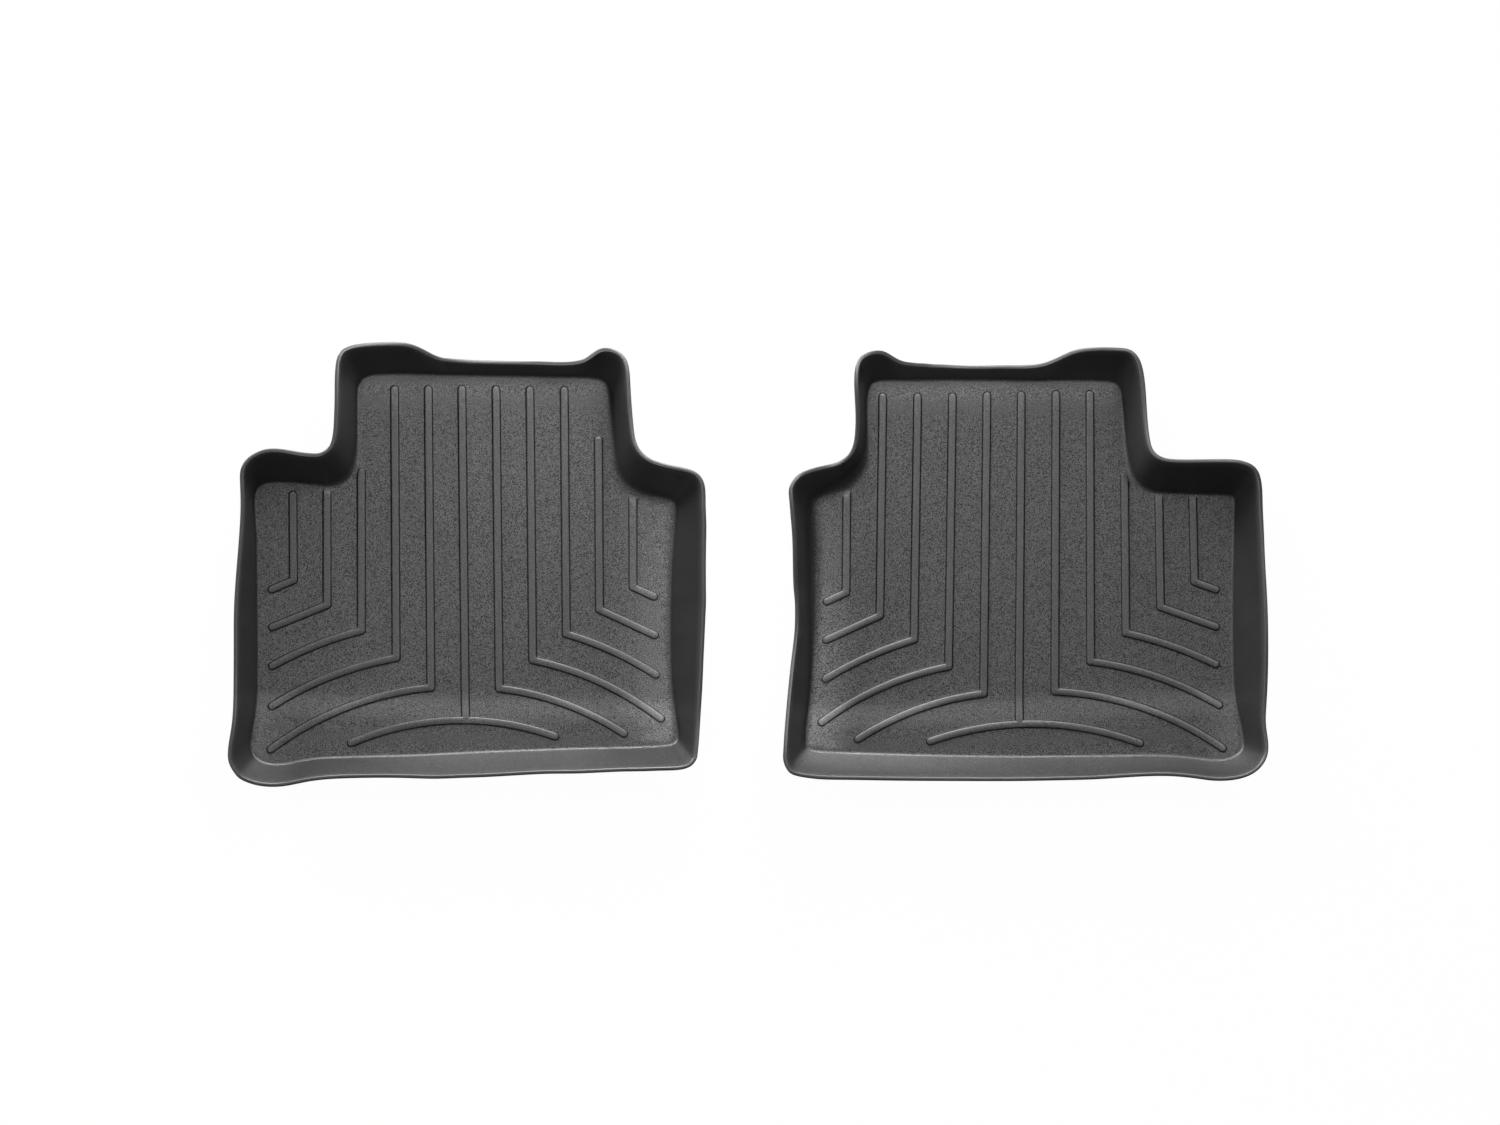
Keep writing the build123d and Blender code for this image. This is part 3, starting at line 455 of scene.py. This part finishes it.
def arc_line(start, middle, end, spacing=3.0):
    """Points along the arc through three points; nearly straight arcs become straight."""
    (x1, y1), (x2, y2), (x3, y3) = start, middle, end
    cross = 2 * (x1 * (y2 - y3) + x2 * (y3 - y1) + x3 * (y1 - y2))
    if abs(cross) < 4 * math.dist(start, end):
        return straight_line(start, end, spacing)
    sq1, sq2, sq3 = x1**2 + y1**2, x2**2 + y2**2, x3**2 + y3**2
    x = (sq1 * (y2 - y3) + sq2 * (y3 - y1) + sq3 * (y1 - y2)) / cross
    y = (sq1 * (x3 - x2) + sq2 * (x1 - x3) + sq3 * (x2 - x1)) / cross
    radius = math.hypot(x1 - x, y1 - y)
    first, mid, last = (math.atan2(point[1] - y, point[0] - x) for point in (start, middle, end))
    last = unwrapped(last, unwrapped(mid, first))
    count = max(3, int(abs(last - first) * radius / spacing))
    angles = [first + (last - first) * k / count for k in range(count + 1)]
    return [(x + radius * math.cos(angle), y + radius * math.sin(angle)) for angle in angles]


def rib_lines(tray):
    """Centre lines, each with the index of its sharp corner or None."""
    lines = []
    for row in tray.ribs:
        line, corner = straight_line(row[0:2], row[2:4], 5.0), None
        if len(row) > 4:
            corner = len(line) - 1
            line += arc_line(row[2:4], row[4:6], row[6:8])[1:]
        lines.append((line, corner))
    arc = tray.heel_arc
    lines.append((arc_line(arc[0:2], arc[2:4], arc[4:6]), None))
    return lines


def offset_loop(line, corner, distance):
    """Closed outline at a distance round a centre line, with round ends."""
    points = np.array(line, float)
    heading = unit(np.diff(points, axis=0))
    left = np.stack([-heading[:, 1], heading[:, 0]], 1)
    bend = 0.0                                           # positive where the line turns left
    if corner is not None:
        (x1, y1), (x2, y2) = heading[corner - 1], heading[corner]
        bend = x1 * y2 - y1 * x2

    def around(centre, angle):
        return centre + distance * np.array([math.cos(angle), math.sin(angle)])

    def side(sign):
        out = [points[0] + sign * left[0] * distance]
        for i in range(1, len(points) - 1):
            before, after = sign * left[i - 1], sign * left[i]
            if i == corner and bend * sign < -0.2:       # outside of the bend: an arc
                first = math.atan2(before[1], before[0])
                last = unwrapped(math.atan2(after[1], after[0]), first)
                count = max(3, int(abs(last - first) / 0.2))
                out += [around(points[i], first + (last - first) * k / count)
                        for k in range(count + 1)]
                continue
            mitre = before + after
            mitre /= np.linalg.norm(mitre)
            point = points[i] + mitre * distance / max(0.2, float(mitre @ before))
            if corner is not None and 0 < abs(i - corner) <= 6 and bend * sign > 0:
                # inside the bend, leave out points that the mitre has passed
                arm = points[:corner + 1] if i > corner else points[corner:]
                if to_segments(point[None], arm[:-1], arm[1:])[0] < distance + 0.4:
                    continue
            out.append(point)
        return out + [points[-1] + sign * left[-1] * distance]

    def cap(centre, start):
        angle = math.atan2(start[1], start[0])
        return [around(centre, angle - math.pi * k / CAP_STEPS) for k in range(1, CAP_STEPS)]

    return np.array(side(1.0) + cap(points[-1], left[-1]) + side(-1.0)[::-1]
                    + cap(points[0], -left[0]))


def rib_distance(lines, points):
    """Distance from points to the nearest centre line, found only close to the lines."""
    best = np.full(len(points), 1e9)
    for line, _ in lines:
        line = np.array(line, float)
        low, high = line.min(0) - 12, line.max(0) + 12
        near = np.where((points >= low).all(1) & (points <= high).all(1))[0]
        if len(near):
            best[near] = np.minimum(best[near], to_segments(points[near], line[:-1], line[1:]))
    return best


# --------------------------------------------------------------------------- wall
def column_places(foot, rim, share):
    """Parameters of the wall's columns: close round the corners, wider along the straights."""
    samples = np.linspace(0, 1, SAMPLES + 1)
    foot, rim = closed_spline(foot, share, samples[:-1]), closed_spline(rim, share, samples[:-1])

    def turning(loop):
        edge = np.roll(loop, -1, 0) - loop
        angle = np.unwrap(np.arctan2(edge[:, 1], edge[:, 0]))
        change = np.abs(np.roll(angle, -8) - np.roll(angle, 8)) % (2 * np.pi)
        return np.minimum(change, 2 * np.pi - change)

    turn = np.maximum(turning(foot), turning(rim)) / 16
    run = np.linalg.norm(np.roll(rim, -1, 0) - rim, axis=1)
    density = np.maximum(run / COLUMN_GAP, turn / COLUMN_TURN)
    kernel = np.exp(-0.5 * (np.arange(-60, 61) / 20.0) ** 2)
    kernel /= kernel.sum()
    density = np.convolve(np.r_[density[-60:], density, density[:60]], kernel, mode="valid")
    total = np.r_[0, np.cumsum(density)]
    columns = int(round(total[-1]))
    return np.interp(np.linspace(0, total[-1], columns + 1)[:-1], total, samples)


def into_tray(height, edge, normal):
    """Unit directions along a surface from its edge, square to the edge in plan."""
    ahead = edge[:, :2] - normal * PROBE
    return unit(np.c_[-normal, (height(*ahead.T) - edge[:, 2]) / PROBE])


def foot_radius(tray, foot):
    """Floor-to-wall radius round the tray."""
    radius = np.full(len(foot), WALL_FOOT_R)
    for x, y, reach, widest in tray.foot_swell:
        away = np.hypot(foot[:, 0] - x, foot[:, 1] - y)
        swell = (widest - WALL_FOOT_R) * np.exp(-(away / reach) ** 2)
        radius = np.maximum(radius, WALL_FOOT_R + swell)
    return radius


def wall_rings(tray):
    """Rings from the floor's edge over the rim to the underside's edge, with the line of the
    wall's foot and its plan normals."""
    def top(x, y):
        return floor_top(tray, x, y)

    def under(x, y):
        return floor_under(tray, x, y)

    stations = np.array(tray.wall, float)
    feet, rims = stations[:, :2], stations[:, 2:]
    share = (shares(feet) + shares(rims)) / 2
    lean = np.arctan2(np.linalg.norm(rims[:, :2] - feet, axis=1) - SHEET,
                      rims[:, 2] - floor_height(tray.step, *feet.T))
    width = (SHEET / np.cos(lean))[:, None]              # level width of the leaning wall
    feet_out = feet + outward(feet, share) * width
    rims_in = rims[:, :2] - outward(rims[:, :2], share) * width

    at = column_places(feet, rims, share)
    foot_in = closed_spline(feet, share, at)
    foot_in = np.c_[foot_in, top(*foot_in.T)]
    foot_out = np.c_[closed_spline(feet_out, share, at), foot_in[:, 2]]
    rim_out = closed_spline(rims, share, at)
    rim_in = np.c_[closed_spline(rims_in, share, at), rim_out[:, 2]]
    normal = right_normal(np.roll(foot_in, -1, 0) - np.roll(foot_in, 1, 0))
    radius = foot_radius(tray, foot_in)

    up_in = unit(rim_in - foot_in)
    fillet_in = round_corner(foot_in, into_tray(top, foot_in, normal), up_in, radius, FOOT_IN)
    fillet_in[0][:, 2] = top(*fillet_in[0][:, :2].T)

    # slide the outer foot down the wall's slope onto the underside
    up_out = unit(rim_out - foot_out)
    corner = foot_out
    for _ in range(6):
        fall = under(corner[:, 0], corner[:, 1]) - corner[:, 2]
        corner = corner + up_out * (fall / up_out[:, 2])[:, None]
    fillet_out = round_corner(corner, up_out, into_tray(under, corner, normal),
                              radius + SHEET, FOOT_OUT)
    fillet_out[-1][:, 2] = under(*fillet_out[-1][:, :2].T)

    across = unit(rim_out - rim_in)
    round_in = round_corner(rim_in, -up_in, across, RIM_R, RIM_IN)
    round_out = round_corner(rim_out, -across, -up_out, RIM_R, RIM_OUT)

    def between(start, end, steps):
        return [start + (end - start) * (i / steps) for i in range(1, steps)]

    rings = fillet_in + between(fillet_in[-1], round_in[0], WALL) + round_in
    rings += between(round_in[-1], round_out[0], LAND) + round_out
    rings += between(round_out[-1], fillet_out[0], WALL) + fillet_out
    return rings, foot_in, normal


def wall_marks(tray, foot, normal):
    """Finish of the wall's vertices: grain (1 full), a painted highlight that also lowers
    roughness (negative values are painted shade) and heel (painted light, brightening)."""
    # rings in each part of the wall
    foot_in, face, rim_in = FOOT_IN + 1, WALL - 1, RIM_IN + 1
    land, rim_out, foot_out = LAND - 1, RIM_OUT + 1, FOOT_OUT + 1
    inner = foot_in + face
    to_back, to_front = np.clip(-normal[:, 1], 0, 1), np.clip(normal[:, 1], 0, 1)
    heel_wall = ease((-normal[:, 1] - 0.55) / 0.35)      # 1 where the wall faces the heel
    up_foot = np.linspace(0, 1, foot_in)

    # grain fades up the inner foot, stays faint on wall and rim, and is light outside
    grain = [1.0 - 0.9 * (k / FOOT_IN) ** 1.5 for k in range(foot_in)] + [0.10] * face
    grain += [0.12] * (rim_in + land + rim_out) + [0.25] * face + [0.4] * foot_out
    grain = np.repeat(np.array(grain)[:, None], len(foot), 1)
    lower = grain[:inner]
    lower += (HEEL_GRAIN - lower) * heel_wall[None] * (lower < HEEL_GRAIN)

    # painted highlight on the rim, most on its inner rounding where roughness is lowered too, and
    # painted shade just outside
    painted_highlight_and_shade = [0.0] * (inner - 1) + [0.3]
    painted_highlight_and_shade += [0.5 + 0.5 * math.sin(math.pi * (k + 1) / (rim_in + 1)) for k in range(rim_in)]
    painted_highlight_and_shade += [0.5] * land + [0.3 - 0.6 * k / RIM_OUT for k in range(rim_out)]
    painted_highlight_and_shade += [-0.2] + [0.0] * (face - 1 + foot_out)
    painted_highlight_and_shade = np.repeat(np.array(painted_highlight_and_shade)[:, None], len(foot), 1)
    outer = inner + rim_in + land
    # painted shade on the outer rounding of rims that face the heel, a painted highlight on rims
    # that face the front, and a painted highlight up the heel wall's foot rounding
    painted_highlight_and_shade[outer:outer + rim_out] -= np.outer(np.linspace(0.0, 0.7, rim_out), to_back)
    painted_highlight_and_shade[outer - 1:outer + 2] += 0.5 * to_front[None]
    painted_highlight_and_shade[:foot_in] += np.outer(np.sin(np.pi * up_foot), heel_wall * 0.7)

    # painted light: the heel wall is painted brighter inside; the foot of the front wall carries
    # on the floor's painted front band
    shine = np.r_[up_foot, np.linspace(1.0, tray.heel_top, face), np.zeros(len(painted_highlight_and_shade) - inner)]
    heel = np.outer(shine, heel_wall * np.interp(foot[:, 0], tray.heel_at, tray.heel_shine))
    ahead = tray.bright_front * np.clip((normal[:, 1] - 0.5) / 0.4, 0, 1)
    heel[:foot_in] += np.outer(np.linspace(1, 0, foot_in), ahead * near_front(tray, foot[:, 1]))
    return {"grain": grain.ravel(), "painted_highlight_and_shade": painted_highlight_and_shade.ravel(), "heel": heel.ravel()}


def ring_faces(ring_count, columns):
    i = np.arange(columns)
    j = (i + 1) % columns
    quads = []
    for k in range(ring_count - 1):
        low, high = k * columns, (k + 1) * columns
        quads.append(np.stack([low + i, high + i, high + j, low + j], 1))
    return np.vstack(quads).tolist()


# --------------------------------------------------------------------------- floor sheets
def fill_points(outline, step_y, pitch, step_pitch, clearance):
    """Staggered grid inside an outline, with closer rows near the heel step."""
    low, high = outline.min(0), outline.max(0)
    rows = []
    y = low[1]
    while y < high[1]:
        x = np.arange(low[0] + (pitch / 2 if len(rows) % 2 else 0), high[0], pitch)
        rows.append(np.stack([x, np.full(len(x), y)], 1))
        y += step_pitch if -34 < step_y - y < 46 else pitch * 0.866
    points = np.vstack(rows)
    points = points[inside(outline, points)]
    return points[loop_gap(outline, points) > clearance]


def patch(outline, inner_loops, fill):
    """Triangulates the inside of an outline with other loops and loose points in it.

    Returns the points, the triangles and, for every point, its index in the outline or -1."""
    coords = [Vector(point) for point in outline]
    count = len(outline)
    edges = []
    for loop in inner_loops:
        keep = inside(outline, loop) & (edge_gap(outline, loop) > 0.7)
        place = len(coords) + np.cumsum(keep) - 1
        coords += [Vector(point) for point in loop[keep]]
        for k in range(len(loop)):
            j = (k + 1) % len(loop)
            if keep[k] and keep[j]:
                edges.append((int(place[k]), int(place[j])))
    coords += [Vector(point) for point in fill]
    found, _, faces, origins, _, _ = delaunay_2d_cdt(
        coords, edges, [list(range(count))], 1, 1e-5, True)
    points = np.array([tuple(point) for point in found])
    rim = np.full(len(points), -1)
    for k, sources in enumerate(origins):
        for i in sources:
            if i < count:
                rim[k] = i
    triangles = np.array([(face[0], face[k], face[k + 1])
                          for face in faces for k in range(1, len(face) - 1)])
    first, second, third = (points[triangles[:, k]] for k in range(3))
    side1, side2 = second - first, third - first
    area = side1[:, 0] * side2[:, 1] - side1[:, 1] * side2[:, 0]
    triangles[area < 0] = triangles[area < 0][:, ::-1]
    real = inside(outline, (first + second + third) / 3) & (abs(area) > 1e-7)
    return points, triangles[real], rim


def add_sheet(shell, points, triangles, rim, first, z, marks):
    """Adds a patch to the shell; its outline shares the shell's vertices from first on."""
    fresh = rim < 0
    index = np.where(fresh, len(shell["verts"]) + np.cumsum(fresh) - 1, first + rim)
    shell["verts"] = np.vstack([shell["verts"], np.c_[points, z][fresh]])
    for key, values in marks.items():
        shell[key] = np.r_[shell[key], np.broadcast_to(values, len(points))[fresh]]
    shell["faces"] += index[triangles].tolist()


def add_floor(shell, tray, outline):
    """Upper side of the floor with its ribs."""
    lines = rib_lines(tray)
    loops = [offset_loop(line, corner, offset)
             for line, corner in lines for offset, _ in RIB_SECTION]
    fill = fill_points(outline, tray.step[1], pitch=7.0, step_pitch=3.0, clearance=2.6)
    fill = fill[rib_distance(lines, fill) > 7.6]
    points, triangles, rim = patch(outline, loops, fill)
    x, y = points.T

    probe = np.array([0.0, FLANK_PROBE])
    change = rib_distance(lines, points + probe) - rib_distance(lines, points - probe)
    facing = np.clip(change / (2 * FLANK_PROBE), -1, 1)  # 1: flank faces the front
    # heel-side flanks stand a little steeper
    away = rib_distance(lines, points) + 0.6 * np.clip(-facing, 0, 1)
    fade = np.clip(edge_gap(outline, points) / 3.0, 0, 1)
    z = floor_top(tray, x, y) + np.interp(away, RIB_OFFSET, RIB_HEIGHT) * ease(fade)

    # painted highlight on rib shoulders that face the front, most beside the other tray; a painted
    # shade line runs at a rib's foot
    gleam = tray.gleam[0] + tray.gleam[1] * ease(1 - np.abs(x) / 430.0)
    painted_shoulder_highlight = np.clip(1 - np.abs(away - 2.95) / 0.9, 0, 1)
    painted_shoulder_highlight = painted_shoulder_highlight * (0.55 + gleam * np.clip(facing, 0, 1) ** 2)
    # painted shade along the foot of each rib
    painted_foot_shade = np.clip(1 - np.abs(away - 4.3) / 0.75, 0, 1)
    # painted light: the floor is painted brighter on the ramp, near the front and in the heel
    # corners
    ramp = ease(tray.inward * (x - tray.ramp_x) / tray.ramp_run)
    corner = (ease(1 - heel_edge(tray, x) / 46.0)
              * ease((past_step(tray.step, x, y) + 10.0) / 40.0))
    heel = tray.bright * ramp + tray.bright_front * near_front(tray, y) ** 2 + 0.8 * corner
    add_sheet(shell, points, triangles, rim, first=0, z=z, marks={
        "grain": np.where(away < 4.2, 0.75, 1.0), "painted_highlight_and_shade": painted_shoulder_highlight - painted_foot_shade * fade,
        "heel": heel})


def add_underside(shell, tray, outline, first):
    fill = fill_points(outline, tray.step[1], pitch=12.0, step_pitch=4.0, clearance=4.0)
    points, triangles, rim = patch(outline, [], fill)
    x, y = points.T
    # the underside follows the floor's relief inside a plain margin
    hollow = ease(edge_gap(outline, points, reach=40.0) / 28.0)
    z = floor_under(tray, x, y) + relief(tray, x, y) * hollow
    add_sheet(shell, points, triangles[:, ::-1], rim, first=first, z=z,
              marks={"grain": 0.4, "painted_highlight_and_shade": 0.0, "heel": 0.0})


# --------------------------------------------------------------------------- objects
def add_object(name, data):
    obj = bpy.data.objects.new(name, data)
    scene.collection.objects.link(obj)
    return obj


def make_liner(tray):
    rings, foot, normal = wall_rings(tray)
    columns = len(foot)
    shell = {"verts": np.vstack(rings), "faces": ring_faces(len(rings), columns),
             **wall_marks(tray, foot, normal)}
    add_floor(shell, tray, rings[0][:, :2])
    add_underside(shell, tray, rings[-1][:, :2], first=(len(rings) - 1) * columns)

    mesh = bpy.data.meshes.new(tray.mesh)
    mesh.from_pydata((shell["verts"] / 1000.0).tolist(), [], shell["faces"])
    mesh.validate()
    for key in ("grain", "painted_highlight_and_shade", "heel"):
        attribute = mesh.attributes.new(key, "FLOAT", "POINT")
        attribute.data.foreach_set("value", shell[key].astype(np.float32))
    mesh.polygons.foreach_set("use_smooth", [True] * len(mesh.polygons))
    mesh.update()
    return add_object(tray.mesh, mesh)


# --------------------------------------------------------------------------- materials
def new_material(name):
    """A material with just a Principled shader and its output."""
    material = bpy.data.materials.new(name)
    material.use_nodes = True
    tree = material.node_tree
    tree.nodes.clear()
    out = tree.nodes.new("ShaderNodeOutputMaterial")
    shader = tree.nodes.new("ShaderNodeBsdfPrincipled")
    tree.links.new(shader.outputs["BSDF"], out.inputs["Surface"])
    return material, tree, shader


def moulded_tpe(name):
    """Black thermoplastic elastomer: speckled grain on the floor, satin walls, painted light,
    highlights and shade.
    """
    material, tree, shader = new_material(name)
    new, link = tree.nodes.new, tree.links.new
    coord = new("ShaderNodeTexCoord")

    def mark(key):
        node = new("ShaderNodeAttribute")
        node.attribute_name = key
        return node.outputs["Fac"]

    def noise(scale, detail):
        node = new("ShaderNodeTexNoise")
        node.inputs["Scale"].default_value = scale
        node.inputs["Detail"].default_value = detail
        node.inputs["Roughness"].default_value = 0.5
        link(coord.outputs["Object"], node.inputs["Vector"])
        return node.outputs["Fac"]

    def maths(operation, *terms):
        node = new("ShaderNodeMath")
        node.operation = operation
        for k, term in enumerate(terms):
            if isinstance(term, (int, float)):
                node.inputs[k].default_value = term
            else:
                link(term, node.inputs[k])
        return node.outputs[0]

    def add(one, other):
        return maths("ADD", one, other)

    def times(one, other):
        return maths("MULTIPLY", one, other)

    def remap(value, from_min, from_max, to_min, to_max):
        node = new("ShaderNodeMapRange")
        link(value, node.inputs["Value"])
        node.inputs["From Min"].default_value = from_min
        node.inputs["From Max"].default_value = from_max
        node.inputs["To Min"].default_value = to_min
        node.inputs["To Max"].default_value = to_max
        return node.outputs["Result"]

    grain, painted_highlight_and_shade, heel = mark("grain"), mark("painted_highlight_and_shade"), mark("heel")
    fine = noise(scale=1250.0, detail=1.0)         # pebbles about a millimetre across
    clusters = noise(scale=240.0, detail=1.0)
    broad = noise(scale=14.0, detail=2.0)          # slow drift of the finish
    cell = new("ShaderNodeTexVoronoi")
    cell.feature = "F1"
    cell.inputs["Scale"].default_value = 1100.0
    link(coord.outputs["Object"], cell.inputs["Vector"])

    # painted highlight where the mark is positive (it also lowers roughness there), painted shade
    # where it is negative
    painted_highlight_and_polish = maths("MAXIMUM", painted_highlight_and_shade, 0.0)
    shade = maths("MAXIMUM", times(painted_highlight_and_shade, -1.0), 0.0)
    speck = remap(add(times(fine, 0.92), times(clusters, 0.08)), 0.38, 0.62, -1.0, 1.0)
    drift = remap(broad, 0.35, 0.65, -1.0, 1.0)

    # colour: wall to floor value by grain, then speckle, drift, painted light, painted highlight
    # and painted shade
    value = remap(grain, 0.0, 1.0, WALL_VALUE, FLOOR_VALUE)
    value = times(value, add(1.0, times(times(speck, grain), SPECKLE)))
    value = times(value, add(1.0, times(drift, 0.05)))
    value = times(value, add(1.0, times(heel, PAINTED_LIGHT_GAIN)))
    value = add(value, times(painted_highlight_and_polish, PAINTED_HIGHLIGHT_VALUE))
    value = times(value, maths("SUBTRACT", 1.0, times(shade, 0.85)))
    value = maths("MAXIMUM", value, 0.002)
    colour = new("ShaderNodeCombineColor")
    link(value, colour.inputs["Red"])
    link(value, colour.inputs["Green"])
    link(times(value, 1.02), colour.inputs["Blue"])          # a trace of blue
    link(colour.outputs["Color"], shader.inputs["Base Color"])

    # roughness: up with the grain and its specks, down on the edges that carry the painted
    # highlight
    rough = remap(grain, 0.0, 1.0, WALL_ROUGH, FLOOR_ROUGH)
    rough = add(rough, times(times(speck, grain), 0.06))
    rough = maths("SUBTRACT", rough, times(maths("MINIMUM", painted_highlight_and_polish, 1.0), 0.12))
    rough = add(rough, times(drift, 0.02))
    link(rough, shader.inputs["Roughness"])

    # specular: glinting specks, dull in the painted shade lines
    gleam = times(add(1.0, times(times(speck, grain), GLINT)), SPECULAR)
    gleam = times(gleam, maths("SUBTRACT", 1.0, times(shade, 0.9)))
    link(maths("MAXIMUM", gleam, 0.05), shader.inputs["Specular IOR Level"])

    height = add(times(fine, 1.0), times(cell.outputs["Distance"], 0.4))
    bump = new("ShaderNodeBump")
    bump.inputs["Distance"].default_value = 0.00028
    link(add(times(grain, GRAIN_BUMP), 0.03), bump.inputs["Strength"])
    link(height, bump.inputs["Height"])
    link(bump.outputs["Normal"], shader.inputs["Normal"])
    return material


def studio_white():
    """The camera sees an evenly lit white sweep; other rays see plain white paint."""
    material, tree, paint = new_material("studio_white")
    paint.inputs["Base Color"].default_value = (0.86, 0.86, 0.86, 1)
    paint.inputs["Roughness"].default_value = 0.9
    paint.inputs["Specular IOR Level"].default_value = 0.1
    glow = tree.nodes.new("ShaderNodeEmission")
    glow.inputs["Color"].default_value = (1, 1, 1, 1)
    glow.inputs["Strength"].default_value = 1.0
    seen = tree.nodes.new("ShaderNodeLightPath")
    part = tree.nodes.new("ShaderNodeMath")
    part.operation = "MULTIPLY"
    part.inputs[1].default_value = SWEEP
    tree.links.new(seen.outputs["Is Camera Ray"], part.inputs[0])
    both = tree.nodes.new("ShaderNodeMixShader")
    tree.links.new(part.outputs[0], both.inputs["Fac"])
    tree.links.new(paint.outputs["BSDF"], both.inputs[1])
    tree.links.new(glow.outputs["Emission"], both.inputs[2])
    tree.links.new(both.outputs["Shader"], tree.nodes["Material Output"].inputs["Surface"])
    return material


# --------------------------------------------------------------------------- stage
def add_stage():
    half, z = 12, -0.0006
    mesh = bpy.data.meshes.new("studio_floor")
    corners = [(-half, -half, z), (half, -half, z), (half, half, z), (-half, half, z)]
    mesh.from_pydata(corners, [], [(0, 1, 2, 3)])
    ground = add_object("studio_floor", mesh)
    mesh.materials.append(studio_white())


def add_lamps():
    for k, (x, y, z, diameter, watts) in enumerate(LAMPS):
        light = bpy.data.lights.new("lamp_%d" % k, "AREA")
        light.shape = "DISK"
        light.size = diameter
        light.energy = watts * LAMP_GAIN
        lamp = add_object("lamp_%d" % k, light)
        lamp.location = (x, y, z)
        lamp.rotation_euler = Vector((x, y, z)).to_track_quat("Z", "Y").to_euler()
        lamp.visible_camera = False


def set_world():
    """White to the camera, DOME bright to every other ray."""
    world = bpy.data.worlds.new("studio")
    scene.world = world
    world.use_nodes = True
    tree = world.node_tree
    background = tree.nodes["Background"]
    path = tree.nodes.new("ShaderNodeLightPath")
    mix = tree.nodes.new("ShaderNodeMix")
    mix.data_type = "FLOAT"
    tree.links.new(path.outputs["Is Camera Ray"], mix.inputs["Factor"])
    mix.inputs["A"].default_value = DOME
    mix.inputs["B"].default_value = 1.0
    tree.links.new(mix.outputs["Result"], background.inputs["Strength"])
    background.inputs["Color"].default_value = (1, 1, 1, 1)


def add_camera():
    data = bpy.data.cameras.new("camera")
    data.sensor_width = SENSOR
    data.lens = SENSOR * CAMERA_DISTANCE / VIEW_WIDTH
    data.clip_end = 100.0
    camera = add_object("camera", data)
    camera.location = (VIEW_X - CAMERA_DISTANCE * math.sin(CAMERA_TILT), VIEW_Y,
                       CAMERA_DISTANCE * math.cos(CAMERA_TILT))
    camera.rotation_euler = (0.0, -CAMERA_TILT, 0.0)
    scene.camera = camera


# --------------------------------------------------------------------------- build
trays = (LEFT_TRAY, RIGHT_TRAY)
liners = [make_liner(tray) for tray in trays]
tpe = moulded_tpe("black_moulded_tpe")
for liner, tray in zip(liners, trays):
    liner.data.materials.append(tpe)
    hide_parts(tray.node)
    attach(liner, tray.body)
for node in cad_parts.values():
    node.data.materials.clear()
    node.data.materials.append(tpe)

add_stage()
add_lamps()
set_world()
scene.view_settings.view_transform = "Standard"
scene.view_settings.look = "None"
scene.view_settings.exposure = 0.0
scene.view_settings.gamma = 1.0
add_camera()

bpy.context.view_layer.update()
